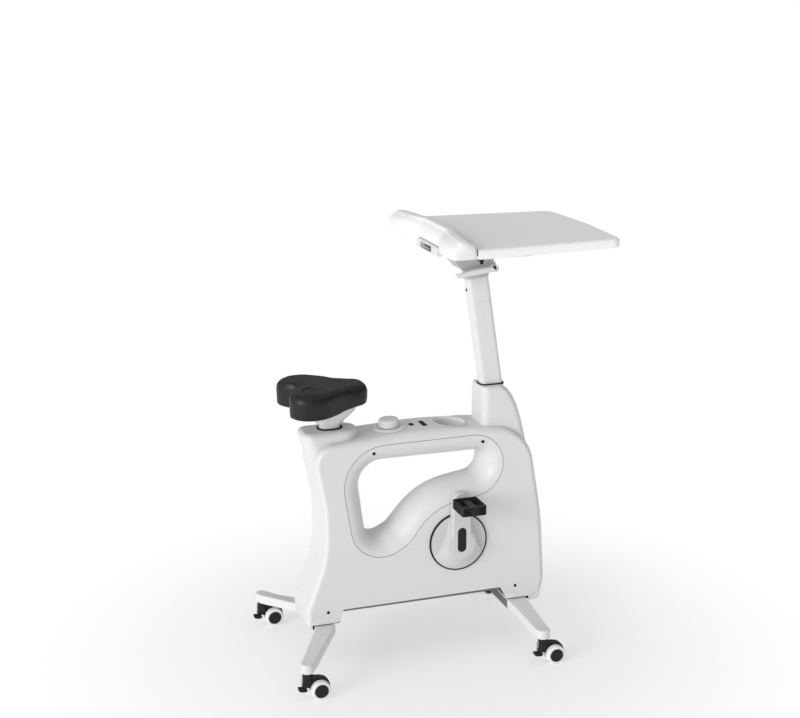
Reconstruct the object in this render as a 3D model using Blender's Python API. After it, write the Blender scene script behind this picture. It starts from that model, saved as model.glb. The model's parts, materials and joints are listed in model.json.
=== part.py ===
# Desk exercise bike: a padded saddle, a pedal drive in a moulded clamshell body with a
# sculpted hand opening, and a desk on a leaning column. Metres, +Z up, floor at z = 0.
# The rider faces +X, so +Y is the rider's left. Lengths along X are given from a datum
# midway between the front and rear wheels, and the whole bike is shifted at the end so
# that its overall box is centred on the origin.

import bpy
import bmesh
from math import acos, atan2, ceil, cos, pi, radians, sin, tan
from mathutils import Matrix, Vector

# Fits
SEAT_GAP = 0.0003          # two fixed faces that touch
RUN_GAP = 0.0005           # a turning or sliding fit
SEAM_GAP = 0.0006          # the visible line round each trim

# Body shells, seen from the side: corners are (x, z, corner radius, edge roll)
BODY_WIDTH = 0.145
WALL = 0.0028
MIDDLE_EDGE = 0.155        # underside of the body between its feet
FOOT_EDGE = 0.1195         # side panel above each leg
FOOT_BOTTOM = 0.107        # rear and front walls reach lower than the side panels
BODY_CORNERS = [
    (-0.3055, FOOT_BOTTOM, 0.006, 0.002),
    (0.3590, FOOT_BOTTOM, 0.014, 0.002),
    (0.3785, 0.1530, 0.100, 0.018),
    (0.3669, 0.3562, 0.606, 0.020),
    (0.3204, 0.6128, 0.122, 0.016),
    (0.1650, 0.6260, 0.800, 0.012),
    (0.0330, 0.6364, 1.294, 0.022),
    (-0.2951, 0.6150, 0.056, 0.012),
    (-0.2583, 0.4460, 0.168, 0.010),
    (-0.2557, 0.3062, 0.308, 0.010),
    (-0.3139, 0.1584, 0.022, 0.015),
]
ARCH_CORNERS = [           # what is cut away between the feet
    (-0.2290, 0.060, 0.0), (0.2660, 0.060, 0.0),
    (0.2610, 0.1240, 0.003), (0.2430, MIDDLE_EDGE + 0.002, 0.008),
    (-0.2130, MIDDLE_EDGE, 0.006), (-0.2270, 0.1240, 0.003),
]
FOOT_FLARE = 0.0022        # how far each foot's panel swells at its lower edge
FOOT_FLARE_TOP = 0.141

# Hand opening: the trim runs from its seam in the side panel to the throat in the middle
SEAM_CORNERS = [
    (-0.0215, 0.3221, 0.0967), (0.0429, 0.4168, 0.1713), (0.2565, 0.4476, 0.0856),
    (0.2327, 0.6086, 0.0861), (-0.2262, 0.6054, 0.1139), (-0.1646, 0.2392, 0.0891),
]
THROAT_CORNERS = [
    (-0.0635, 0.3559, 0.0261), (0.0295, 0.4598, 0.2292), (0.1943, 0.4874, 0.0354),
    (0.1994, 0.5487, 0.0100), (-0.1590, 0.5504, 0.0604), (-0.1297, 0.3249, 0.0329),
]
OPENING_ARCS = [4, 4, 4, 5, 4, 4]   # facets of each corner, the same on both outlines
TRIM_WALL = 0.0030
TRIM_LAP = 0.0045          # flange behind the side panel
TRIM_LAP_SINK = 0.0030     # how much deeper its outer edge lies
SCREW_RADIUS = 0.0045
TRIM_SCREWS = [(-0.123, 0.586), (0.186, 0.587)]
FOOT_SCREWS = [(-0.254, 0.152), (0.288, 0.156)]

# Neck covers: (height, back, front, how far the sides draw in)
SADDLE_NECK_TOP = 0.6475
SADDLE_NECK_LEVELS = [
    (0.5400, -0.2770, -0.1500, 0.0), (0.6360, -0.3078, -0.1505, 0.0),
    (0.6415, -0.3078, -0.1505, 0.0012), (0.6455, -0.3048, -0.1508, 0.0042),
    (SADDLE_NECK_TOP, -0.2980, -0.1520, 0.0100),
]
MAST_NECK_TOP = 0.7385
MAST_NECK_LEVELS = [       # back and front are measured outwards from the column's faces
    (0.5600, 0.0150, 0.0630, 0.0), (0.6100, 0.0150, 0.0540, 0.0), (0.6660, 0.0150, 0.0390, 0.0),
    (0.6900, 0.0150, 0.0300, 0.0), (0.7080, 0.0150, 0.0205, 0.0), (0.7270, 0.0148, 0.0065, 0.0003),
    (0.7355, 0.0132, -0.0025, 0.0020), (MAST_NECK_TOP, 0.0100, -0.0100, 0.0060),
]
NECK_HALF_WIDTH = 0.050
NECK_WALL = 0.003

# Base
RAIL_HALF_WIDTH = 0.025
RAIL_BOTTOM = 0.1365
RAIL_TOP = 0.1615
RAIL_BACK = -0.285
RAIL_FRONT = 0.353
REAR_POST = (-0.285, -0.235)
FRONT_POST = (0.268, 0.318)
LEG_TOP = 0.118
LEG_THICKNESS = 0.026
REAR_LEG = {"root": (-0.265, BODY_WIDTH / 2 + 0.0075), "root_width": 0.056,
            "tip": (-0.361, 0.240), "tip_width": 0.034}
FRONT_LEG = {"root": (0.2925, BODY_WIDTH / 2 + 0.0035), "root_width": 0.055,
             "tip": (0.2986, 0.243), "tip_width": 0.036}

# Casters
WHEEL_RADIUS = 0.0258
WHEEL_WIDTH = 0.018
CAP_RADIUS = 0.018
HOOD_WIDTH = 0.016
CASTER_TRAIL = WHEEL_RADIUS + 0.0052    # from the swivel axis to the wheels' axle
CASTER_TOP = 2 * WHEEL_RADIUS + 0.0201
LEG_DROP = LEG_TOP - LEG_THICKNESS - SEAT_GAP - CASTER_TOP    # how much lower each leg's tip lies
BARREL_RADIUS = 0.013
STEM_RADIUS = 0.005
STEM_REACH = 0.018

# Seat
POST_X = -0.2240
POST_SIZE = (0.058, 0.039)
POST_BOTTOM = 0.300
POST_TOP = 0.690
POST_WALL = 0.0025
SLEEVE = (0.455, 0.640)
SLEEVE_WALL = 0.002
SADDLE_TOP = 0.778
SADDLE_RIM = 0.7015
SADDLE_HALF_WIDTH = 0.118
SADDLE_BACK = -0.3615
SADDLE_FRONT = -0.117

# Column and desk
MAST_FOOT = (0.2330, 0.7290)      # where the column's axis passes the gasket
MAST_LEAN = 8.72                  # degrees, towards the rider
COLUMN_SIZE = (0.062, 0.040)
COLUMN_ROUND = 0.012
COLUMN_WALL = 0.0025
COLUMN_LOW = -0.400               # along the axis, from the gasket
MAST_TUBE_HIGH = -0.020
MAST_TUBE_WALL = 0.003
DESK_TOP = 1.152
DESK_THICKNESS = 0.0235
DESK_BOTTOM = DESK_TOP - DESK_THICKNESS
DESK_HALF_WIDTH = 0.2675          # at x = 0
DESK_TAPER = 0.0765               # narrowing of each side per metre towards the front
DESK_FRONT = 0.5150
DESK_CORNER_X = 0.503
DESK_CORNER_ROUND = 0.034
DESK_FRONT_BOW = 0.9              # radius of the bowed front edge
DESK_STEP = 0.0945                # where the board narrows to go under the arm pad
DESK_BACK = 0.062
PAD_TOP = DESK_TOP + 0.020
PAD_LENGTH = 0.520
PAD_LEDGE = DESK_BOTTOM + 0.008   # top of the board under the pad
HEAD_DROP = 0.07727               # from the board's underside to the top of the column's axis
COLUMN_HIGH = (DESK_BOTTOM - HEAD_DROP - MAST_FOOT[1]) / cos(radians(MAST_LEAN))
HEAD_X = MAST_FOOT[0] - COLUMN_HIGH * sin(radians(MAST_LEAN))
HEAD_BACK = HEAD_X - COLUMN_SIZE[0] / 2
HEAD_FRONT = HEAD_X + COLUMN_SIZE[0] / 2
BRACKET_HALF_WIDTH = COLUMN_SIZE[1] / 2 + 0.016
PLATE_HALF_WIDTH = BRACKET_HALF_WIDTH + 0.019
PLATE_TOP = DESK_BOTTOM - 0.0205
PLATE_THICKNESS = 0.004
PLATE_BOTTOM = PLATE_TOP - PLATE_THICKNESS
PLATE_BACK = HEAD_BACK + 0.0124
COLLAR_LOW = COLUMN_HIGH - 0.0223      # where the collar takes over from the bare column
STUD_X = HEAD_FRONT + 0.0044
STUD_Z = DESK_BOTTOM - 0.0695
STUD_RADIUS = 0.0032

# Drive
CRANK_X = 0.116
CRANK_Z = 0.310
CRANK_LENGTH = 0.128
CRANK_END = 0.0208
DISC_RADIUS = 0.079
DISC_FACE = BODY_WIDTH / 2 + 0.0055    # from the middle plane
DISC_BACK = BODY_WIDTH / 2 - 0.0085
ARM_FACE = BODY_WIDTH / 2 + 0.0310
PORT_GAP = 0.0026                 # dark ring round the disc
AXLE_RADIUS = 0.010
PULLEY_RADIUS = 0.0675
PULLEY_SIDE = 0.045               # belt plane, on the right of the middle
BELT_WIDTH = 0.010
BELT_THICKNESS = 0.0025
FLYWHEEL_RADIUS = 0.055
FLYWHEEL_AT = (-0.105, RAIL_TOP + FLYWHEEL_RADIUS + 0.0055)
FLYWHEEL_HALF = 0.009
SMALL_PULLEY = 0.0115
PIN_RADIUS = 0.005
MAGNET_PIVOT = (-0.012, 0.190)
PEDAL_SIZE = (0.070, 0.080, 0.026)
PEDAL_INNER = ARM_FACE + 0.0115
SPINDLE_RADIUS = 0.006

# Deck controls
KNOB_X = -0.058
KNOB_RADIUS = 0.0275
DISH_RADIUS = KNOB_RADIUS + 0.0205
BUTTON_X = 0.005
BUTTON_SIZE = (0.012, 0.018)
DISPLAY_X = 0.038
DISPLAY_SIZE = (0.014, 0.045)
CUP_X = 0.113
CUP_RADIUS = 0.0405
CUP_RIM = CUP_RADIUS + 0.0080
CUP_DEPTH = 0.055
CUP_WALL = 0.002

HALF = BODY_WIDTH / 2
BRAKE_REACH = 0.031        # from the swivel axis to the end of the brake tab
BIKE_BACK = REAR_LEG["tip"][0] - BRAKE_REACH
DATUM_X = (BIKE_BACK + DESK_FRONT) / 2


def clear_scene():
    for thing in list(bpy.data.objects):
        bpy.data.objects.remove(thing)


# Outlines

def corner_arc(before, corner, after, radius):
    """Centre, start angle and sweep of the arc that rounds a corner."""
    back = (Vector(before) - Vector(corner)).normalized()
    ahead = (Vector(after) - Vector(corner)).normalized()
    opening = back.angle(ahead)
    centre = Vector(corner) + (back + ahead).normalized() * radius / sin(opening / 2)
    first = Vector(corner) + back * radius / tan(opening / 2) - centre
    last = Vector(corner) + ahead * radius / tan(opening / 2) - centre
    start = atan2(first.y, first.x)
    sweep = (atan2(last.y, last.x) - start + pi) % (2 * pi) - pi
    return centre, start, sweep


def outline(corners, arcs=None, chord=0.0015, grow=0.0, roll=0.0):
    """Closed outline with rounded corners, as (point, outward normal, edge roll)."""
    points = []
    count = len(corners)
    flat = [Vector(corner[:2]) for corner in corners]
    area = sum(flat[k - 1].cross(flat[k]) for k in range(count))
    for k, corner in enumerate(corners):
        radius = max(corner[2], 0.0001)
        centre, start, sweep = corner_arc(flat[k - 1], flat[k], flat[(k + 1) % count], radius)
        edge = corner[3] if len(corner) > 3 else roll
        fine = 2 * acos(max(0.0, 1 - chord / radius)) if radius > chord else pi
        steps = arcs[k] if arcs else max(1, ceil(abs(sweep) / fine))
        outward = 1 if (sweep > 0) == (area > 0) else -1
        if outward > 0:
            edge = min(edge, radius + grow)
        for step in range(steps + 1):
            angle = start + sweep * step / steps
            normal = Vector((cos(angle), sin(angle))) * outward
            points.append((centre + normal * outward * radius + normal * grow, normal, edge))
    return points


def circle(centre, radius, steps):
    turns = [2 * pi * k / steps for k in range(steps)]
    spokes = [Vector((cos(turn), sin(turn))) for turn in turns]
    return [(Vector(centre) + spoke * radius, spoke, 0.0) for spoke in spokes]


def box_corners(low, high, radius=0.0):
    ends = [(low[0], low[1]), (high[0], low[1]), (high[0], high[1]), (low[0], high[1])]
    return [(u, v, radius) for u, v in ends]


def centred_box(centre, size, radius=0.0):
    low = (centre[0] - size[0] / 2, centre[1] - size[1] / 2)
    high = (centre[0] + size[0] / 2, centre[1] + size[1] / 2)
    return box_corners(low, high, radius)


PLACE = {
    "x": lambda p, depth: Vector((depth, p[0], p[1])),
    "y": lambda p, depth: Vector((p[0], depth, p[1])),
    "z": lambda p, depth: Vector((p[0], p[1], depth)),
}


# Solids

def bridge(bm, ring_a, ring_b):
    count = len(ring_a)
    for k in range(count):
        after = (k + 1) % count
        bm.faces.new((ring_a[k], ring_a[after], ring_b[after], ring_b[k]))


def tidy(bm):
    bmesh.ops.remove_doubles(bm, verts=bm.verts, dist=0.000002)
    bmesh.ops.dissolve_degenerate(bm, edges=bm.edges, dist=0.000002)
    bmesh.ops.recalc_face_normals(bm, faces=bm.faces)
    return bm


def loft(rings, endless=False):
    """Closed solid through rings of points, capped or joined end to end."""
    bm = bmesh.new()
    rows = [[bm.verts.new(point) for point in ring] for ring in rings]
    for first, second in zip(rows, rows[1:]):
        bridge(bm, first, second)
    if endless:
        bridge(bm, rows[-1], rows[0])
    else:
        bm.faces.new(rows[0])
        bm.faces.new(rows[-1])
    return tidy(bm)


def slab(points, low, high, along, steps=3):
    """Solid of an outline between two depths, its edges rolled by each point's own roll."""
    place = PLACE[along]
    rolled = any(roll > 0 for _, _, roll in points)
    turns = [pi / 2 * k / steps for k in range(steps + 1)] if rolled else [pi / 2]
    rings = []
    for turn in turns:
        rings.append([place(p - n * roll * (1 - sin(turn)), low + roll * (1 - cos(turn)))
                      for p, n, roll in points])
    for turn in reversed(turns):
        rings.append([place(p - n * roll * (1 - sin(turn)), high - roll * (1 - cos(turn)))
                      for p, n, roll in points])
    return loft(rings)


def block(low, high):
    return slab(outline(box_corners(low[:2], high[:2])), low[2], high[2], "z")


def tube(outer, inner, low, high, along="z"):
    """Open-ended tube between two depths."""
    place = PLACE[along]
    rings = [[place(p, depth) for p, _, _ in points]
             for points, depth in ((outer, low), (outer, high), (inner, high), (inner, low))]
    return loft(rings, endless=True)


def turned(profile, steps, along="z", at=(0, 0, 0), ring=False):
    """Solid turned about an axis from (radius, height) points."""
    bm = bmesh.new()
    verts = [bm.verts.new((radius, 0, height)) for radius, height in profile]
    pairs = list(zip(verts, verts[1:]))
    if ring:
        pairs.append((verts[-1], verts[0]))
    edges = [bm.edges.new(pair) for pair in pairs]
    bmesh.ops.spin(bm, geom=verts + edges, cent=(0, 0, 0), axis=(0, 0, 1),
                   angle=2 * pi, steps=steps, use_merge=True)
    turn = {"z": Matrix(), "y": Matrix.Rotation(-pi / 2, 4, "X"), "x": Matrix.Rotation(pi / 2, 4, "Y")}
    bm.transform(Matrix.Translation(at) @ turn[along])
    return tidy(bm)


def rod(radius, low, high, along, at, steps=24, bore=0.0, edge=0.0):
    """Round bar along an axis, with an optional bore and small edge chamfers."""
    outside = [(radius - edge, low), (radius, low + edge), (radius, high - edge), (radius - edge, high)]
    if not edge:
        outside = [(radius, low), (radius, high)]
    if bore:
        return turned([(bore, low)] + outside + [(bore, high)], steps, along, at, ring=True)
    return turned([(0, low)] + outside + [(0, high)], steps, along, at)


def bolted(*shapes):
    """Separate closed shapes as one mesh, to cut or join with in one go."""
    whole = bmesh.new()
    for shape in shapes:
        mesh = bpy.data.meshes.new("shape")
        shape.to_mesh(mesh)
        whole.from_mesh(mesh)
        bpy.data.meshes.remove(mesh)
        shape.free()
    return whole


def mirrored(bm):
    bmesh.ops.scale(bm, vec=(1, -1, 1), verts=bm.verts)
    bmesh.ops.recalc_face_normals(bm, faces=bm.faces)
    return bm


# Objects, finishes and joints

def finish_of(name, colour, roughness, metallic):
    material = bpy.data.materials.new(name)
    material.use_nodes = True
    shader = material.node_tree.nodes["Principled BSDF"]
    shader.inputs["Base Color"].default_value = (*colour, 1)
    shader.inputs["Roughness"].default_value = roughness
    shader.inputs["Metallic"].default_value = metallic
    return material


WHITE = ((0.80, 0.80, 0.80), 0.35, 0.0)
PALE = ((0.74, 0.74, 0.73), 0.45, 0.0)
BLACK = ((0.012, 0.012, 0.013), 0.45, 0.0)
RUBBER = ((0.020, 0.020, 0.021), 0.70, 0.0)
STEEL = ((0.45, 0.45, 0.46), 0.30, 1.0)
PAINTED_STEEL = ((0.030, 0.030, 0.032), 0.50, 0.2)
GREY = ((0.25, 0.25, 0.26), 0.50, 0.0)
TYRE = ((0.70, 0.70, 0.70), 0.60, 0.0)

bodies = {}


def moving(name, at, parent="frame"):
    """Empty on a joint's axis that carries a moving body."""
    pivot = bpy.data.objects.new(name + "_joint", None)
    bpy.context.collection.objects.link(pivot)
    if name != "frame":
        carrier, place = bodies[parent]
        pivot.parent = carrier
        pivot.location = Vector(at) - place
    bodies[name] = (pivot, Vector(at))


def as_object(name, bm, body):
    pivot, place = bodies[body]
    bm.transform(Matrix.Translation(-place))
    mesh = bpy.data.meshes.new(name)
    bm.to_mesh(mesh)
    bm.free()
    thing = bpy.data.objects.new(name, mesh)
    thing.parent = pivot
    bpy.context.collection.objects.link(thing)
    return thing


def piece(name, bm, finish, body="frame", cuts=(), joins=(), last=(), sharp=35):
    """One sub-part: what is joined to it, what is then cut from it, and any last steps."""
    thing = as_object(name, bm, body)
    thing.data.materials.append(finish_of(name, *finish))
    thing.data.shade_smooth()
    thing.data.set_sharp_from_angle(angle=radians(sharp))
    steps = [("UNION", shape) for shape in joins] + [("DIFFERENCE", shape) for shape in cuts]
    for k, (operation, shape) in enumerate(steps + list(last)):
        tool = as_object("{}_{}_{}".format(name, operation.lower(), k), shape, body)
        tool.hide_render = True
        tool.display_type = "WIRE"
        step = thing.modifiers.new(operation.title(), "BOOLEAN")
        step.operation = operation
        step.solver = "EXACT"
        step.object = tool


# Body

def half_slab(points, side_depth, middle):
    """The right half of a slab: rolled on its outer face, square on the middle plane."""
    rings = []
    for k in range(4):
        turn = pi / 2 * k / 3
        rings.append([PLACE["y"](p - n * roll * (1 - sin(turn)), side_depth + roll * (1 - cos(turn)))
                      for p, n, roll in points])
    rings.append([PLACE["y"](p, middle) for p, n, roll in points])
    return loft(rings)


def body_half(grow, middle, low=None):
    corners = [list(corner) for corner in BODY_CORNERS]
    if low is not None:
        corners[0][1] = low
        corners[1][1] = low
    points = [(p, n, max(roll + grow, 0.0006)) for p, n, roll in outline(corners, grow=grow)]
    return half_slab(points, -HALF - grow, middle)


def foot_flares():
    """Thin wedges that swell each foot's panel towards its lower edge."""
    wedges = []
    for rear, front in ((-0.2975, -0.2272), (0.2612, 0.3470)):
        rings = []
        for x in (rear, front):
            rings.append([Vector((x, -HALF + WALL / 2, FOOT_FLARE_TOP)),
                          Vector((x, -HALF, FOOT_FLARE_TOP)),
                          Vector((x, -HALF - FOOT_FLARE, FOOT_EDGE + 0.006)),
                          Vector((x, -HALF - FOOT_FLARE, FOOT_EDGE)),
                          Vector((x, -HALF + WALL / 2, FOOT_EDGE))])
        wedges.append(loft(rings))
    return wedges


def deck_at(x):
    """Height and slope of the deck's crown above a place on the X axis."""
    points = [p for p, n, roll in outline(BODY_CORNERS) if p.y > 0.55]
    points.sort(key=lambda p: p.x)
    for before, after in zip(points, points[1:]):
        if before.x <= x <= after.x:
            share = (x - before.x) / (after.x - before.x)
            rise = after.y - before.y
            return before.y + rise * share, atan2(rise, after.x - before.x)
    return points[-1].y, 0.0


def on_deck(bm, x):
    """Moves a shape built about the Z axis to stand square on the deck."""
    height, slope = deck_at(x)
    bm.transform(Matrix.Translation((x, 0, height)) @ Matrix.Rotation(-slope, 4, "Y"))
    return bm


def leaned(bm):
    """Moves a shape built about the Z axis onto the column's leaning axis."""
    place = Matrix.Translation((MAST_FOOT[0], 0, MAST_FOOT[1]))
    bm.transform(place @ Matrix.Rotation(-radians(MAST_LEAN), 4, "Y"))
    return bm


def deck_slot(size, x, radius):
    slot = outline(centred_box((0, 0), size, radius))
    return on_deck(slab(slot, -0.020, 0.020, "z"), x)


def post_outline(grow=0.0):
    return outline(centred_box((POST_X, 0), POST_SIZE, POST_SIZE[1] / 2 - 0.0005), grow=grow)


def column_outline(grow=0.0):
    return outline(centred_box((0, 0), COLUMN_SIZE, COLUMN_ROUND), grow=grow)


def shell_cuts():
    seam = outline(SEAM_CORNERS, OPENING_ARCS, grow=SEAM_GAP)
    arch = outline(ARCH_CORNERS)
    wide = HALF + 0.01
    cuts = [
        body_half(-WALL, 0.01, low=FOOT_BOTTOM - 0.03),
        slab(seam, -wide, -HALF + 0.012, "y"),
        slab(arch, -wide, 0.01, "y"),
        bolted(block((-0.2945, -wide, 0.06), (-0.20, 0.01, FOOT_EDGE)),
               block((0.24, -wide, 0.06), (0.3440, 0.01, FOOT_EDGE))),
        rod(DISC_RADIUS + PORT_GAP, -wide, -HALF + 0.01, "y", (CRANK_X, 0, CRANK_Z), 48),
        bolted(*[rod(SCREW_RADIUS, -wide, -HALF + 0.01, "y", (x, 0, z), 16) for x, z in FOOT_SCREWS]),
        bolted(on_deck(rod(0.010, -0.02, 0.02, "z", (0, 0, 0), 24), KNOB_X),
               deck_slot((BUTTON_SIZE[0] + 0.0012, BUTTON_SIZE[1] + 0.0012), BUTTON_X, 0.0026),
               deck_slot((DISPLAY_SIZE[0] + 0.0006, DISPLAY_SIZE[1] + 0.0006), DISPLAY_X, 0.0015),
               on_deck(rod(CUP_RADIUS + CUP_WALL + 2 * SEAT_GAP, -0.02, 0.02, "z", (0, 0, 0), 36), CUP_X)),
        slab(post_outline(SLEEVE_WALL + 2 * RUN_GAP), 0.58, 0.66, "z"),
        leaned(slab(column_outline(MAST_TUBE_WALL + 2 * RUN_GAP), -0.18, 0.02, "z")),
    ]
    return cuts


def make_shells():
    for name, flip in (("right_shell", False), ("left_shell", True)):
        whole = body_half(0.0, -SEAT_GAP / 2)
        flares = foot_flares()
        cuts = shell_cuts()
        if flip:
            mirrored(whole)
            for shape in flares + cuts:
                mirrored(shape)
        piece(name, whole, WHITE, joins=flares, cuts=cuts)


def trim_point(seam, throat, turn, inset):
    """Point of the trim's rolled surface, or of its back when inset is its wall."""
    across = throat - seam
    reach = across.length
    depth = HALF - SEAT_GAP / 2
    normal = Vector((sin(turn) / reach, -cos(turn) / depth)).normalized()
    s = reach * sin(turn) - inset * normal.x
    d = depth * (1 - cos(turn)) - inset * normal.y
    if turn > pi / 2 - 0.001:
        d = depth
    place = seam + across * (s / reach)
    return Vector((place.x, -HALF + d, place.y))


def make_trims():
    seam = [p for p, _, _ in outline(SEAM_CORNERS, OPENING_ARCS)]
    throat = [p for p, _, _ in outline(THROAT_CORNERS, OPENING_ARCS)]
    pairs = list(zip(seam, throat))
    lap = WALL + SEAT_GAP
    rings = []
    for d in (0.0, lap):
        rings.append([Vector((s.x, -HALF + d, s.y)) for s, t in pairs])
    rings.reverse()
    for degrees in (20, 42, 66, 90):
        rings.append([trim_point(s, t, radians(degrees), 0.0) for s, t in pairs])
    for degrees in (90, 45):
        rings.append([trim_point(s, t, radians(degrees), TRIM_WALL) for s, t in pairs])
    outer = [s - (t - s).normalized() * TRIM_LAP for s, t in pairs]
    for d in (lap + TRIM_LAP_SINK + TRIM_WALL, lap + TRIM_LAP_SINK):
        rings.append([Vector((p.x, -HALF + d, p.y)) for p in outer])
    for name, flip in (("right_trim", False), ("left_trim", True)):
        whole = loft(rings, endless=True)
        holes = bolted(*[rod(SCREW_RADIUS, -HALF - 0.01, -HALF + 0.018, "y", (x, 0, z), 16)
                         for x, z in TRIM_SCREWS])
        if flip:
            mirrored(whole)
            mirrored(holes)
        piece(name, whole, WHITE, cuts=[holes])


def full_body(grow):
    """The whole body form, which trims what stands on it."""
    points = [(p, n, roll + grow) for p, n, roll in outline(BODY_CORNERS, grow=grow)]
    return slab(points, -HALF - grow, HALF + grow, "y", steps=4)


def mast_neck_levels():
    back = MAST_FOOT[0] - COLUMN_SIZE[0] / 2
    front = MAST_FOOT[0] + COLUMN_SIZE[0] / 2
    return [(z, back - behind, front + ahead, inset) for z, behind, ahead, inset in MAST_NECK_LEVELS]


def plan_loft(levels, half, back_radius, front_radius, thinner=0.0):
    """Solid through level rounded boxes, its wall set in by an even thickness."""
    rings = []
    for z, back, front, inset in levels:
        wide = half - inset - thinner
        corners = [(back + thinner, -wide, max(back_radius - thinner, 0.001)),
                   (front - thinner, -wide, min(front_radius, wide - 0.0002)),
                   (front - thinner, wide, min(front_radius, wide - 0.0002)),
                   (back + thinner, wide, max(back_radius - thinner, 0.001))]
        rings.append([Vector((p.x, p.y, z)) for p, _, _ in outline(corners, arcs=[3, 5, 5, 3])])
    return loft(rings)


def hollow_levels(levels):
    """The same levels with the top one below the cover's roof."""
    top = levels[-1][0] - NECK_WALL
    kept = [level for level in levels if level[0] < top - 0.004]
    middle = kept[len(kept) // 2:-1]
    return [(kept[0][0] - 0.01, *kept[0][1:])] + middle + [(top, *kept[-1][1:])]


def mast_mouth(grow):
    """The level ring in the top of the column's cover."""
    size = (COLUMN_SIZE[0] + 0.008, COLUMN_SIZE[1] + 0.008)
    return outline(centred_box((MAST_FOOT[0], 0), size, COLUMN_ROUND + 0.0038), [6, 6, 6, 6], grow=grow)


def make_neck_covers():
    body = full_body(SEAT_GAP)
    cover = plan_loft(SADDLE_NECK_LEVELS, NECK_HALF_WIDTH, 0.012, NECK_HALF_WIDTH)
    room = plan_loft(hollow_levels(SADDLE_NECK_LEVELS), NECK_HALF_WIDTH, 0.012, NECK_HALF_WIDTH, NECK_WALL)
    mouth = slab(post_outline(0.0055), 0.60, SADDLE_NECK_TOP + 0.01, "z")
    piece("saddle_neck_cover", cover, WHITE, cuts=[body, room, mouth])

    body = full_body(SEAT_GAP)
    levels = mast_neck_levels()
    cover = plan_loft(levels, NECK_HALF_WIDTH, 0.020, 0.020)
    room = plan_loft(hollow_levels(levels), NECK_HALF_WIDTH, 0.020, 0.020, NECK_WALL)
    mouth = slab(mast_mouth(SEAT_GAP), 0.70, 0.78, "z")
    piece("mast_neck_cover", cover, WHITE, cuts=[body, room, mouth])


def make_gaskets():
    low = SADDLE_NECK_TOP - 0.002
    ring = tube(post_outline(0.0052), post_outline(2 * RUN_GAP), low, SADDLE_NECK_TOP + 0.0035)
    piece("seat_gasket", ring, RUBBER)
    outer = mast_mouth(0.0)
    centre = MAST_FOOT[0] - 0.0095 * tan(radians(MAST_LEAN))
    size = (COLUMN_SIZE[0] + 0.0032, COLUMN_SIZE[1] + 0.0012)
    inner = outline(centred_box((centre, 0), size, COLUMN_ROUND + 0.0005), [6, 6, 6, 6])
    ring = tube(outer, inner, MAST_NECK_TOP - 0.003, MAST_NECK_TOP + 0.0035)
    piece("mast_gasket", ring, RUBBER)


# Base

def make_base_rail():
    corners = [
        (REAR_POST[0], LEG_TOP + SEAT_GAP, 0.0005), (REAR_POST[1], LEG_TOP + SEAT_GAP, 0.0005),
        (REAR_POST[1], RAIL_BOTTOM, 0.004), (FRONT_POST[0], RAIL_BOTTOM, 0.004),
        (FRONT_POST[0], LEG_TOP + SEAT_GAP, 0.0005), (FRONT_POST[1], LEG_TOP + SEAT_GAP, 0.0005),
        (FRONT_POST[1], RAIL_BOTTOM, 0.004), (RAIL_FRONT, RAIL_BOTTOM, 0.003),
        (RAIL_FRONT, RAIL_TOP, 0.003), (RAIL_BACK, RAIL_TOP, 0.003),
    ]
    points = outline(corners, roll=0.0004)
    piece("base_rail", slab(points, -RAIL_HALF_WIDTH, RAIL_HALF_WIDTH, "y", steps=1), PAINTED_STEEL)


def leg_beam(leg):
    """One welded beam across the bike, with a leg to each side that tapers to a round tip."""
    root = Vector(leg["root"])
    tip = Vector(leg["tip"])
    along = (tip - root).normalized()
    across = Vector((along.y, -along.x))
    tip_half = leg["tip_width"] / 2
    end = tip + along * tip_half
    half = [
        (root.x + leg["root_width"] / 2, root.y, 0.004),
        (*(end + across * tip_half), tip_half * 0.96),
        (*(end - across * tip_half), tip_half * 0.96),
        (root.x - leg["root_width"] / 2, root.y, 0.004),
    ]
    other = [(x, -y, radius) for x, y, radius in reversed(half)]
    points = outline(half + other, roll=0.004)
    beam = slab(points, LEG_TOP - LEG_THICKNESS, LEG_TOP, "z", steps=1)
    level = tip.y - 0.020
    for y in (-level, -root.y, root.y, level):
        everything = beam.verts[:] + beam.edges[:] + beam.faces[:]
        bmesh.ops.bisect_plane(beam, geom=everything, plane_co=(0, y, 0), plane_no=(0, 1, 0))
    for vert in beam.verts:
        share = (abs(vert.co.y) - root.y) / (level - root.y)
        vert.co.z -= LEG_DROP * min(max(share, 0.0), 1.0)
    bores = [rod(STEM_RADIUS + SEAT_GAP, 0.05, CASTER_TOP + STEM_REACH + 0.001, "z",
                 (tip.x, side * tip.y, 0), 24) for side in (-1, 1)]
    return beam, bolted(*bores)


def make_legs():
    for name, leg in (("rear_leg_beam", REAR_LEG), ("front_leg_beam", FRONT_LEG)):
        beam, bores = leg_beam(leg)
        piece(name, beam, WHITE, cuts=[bores])


# Casters

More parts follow.
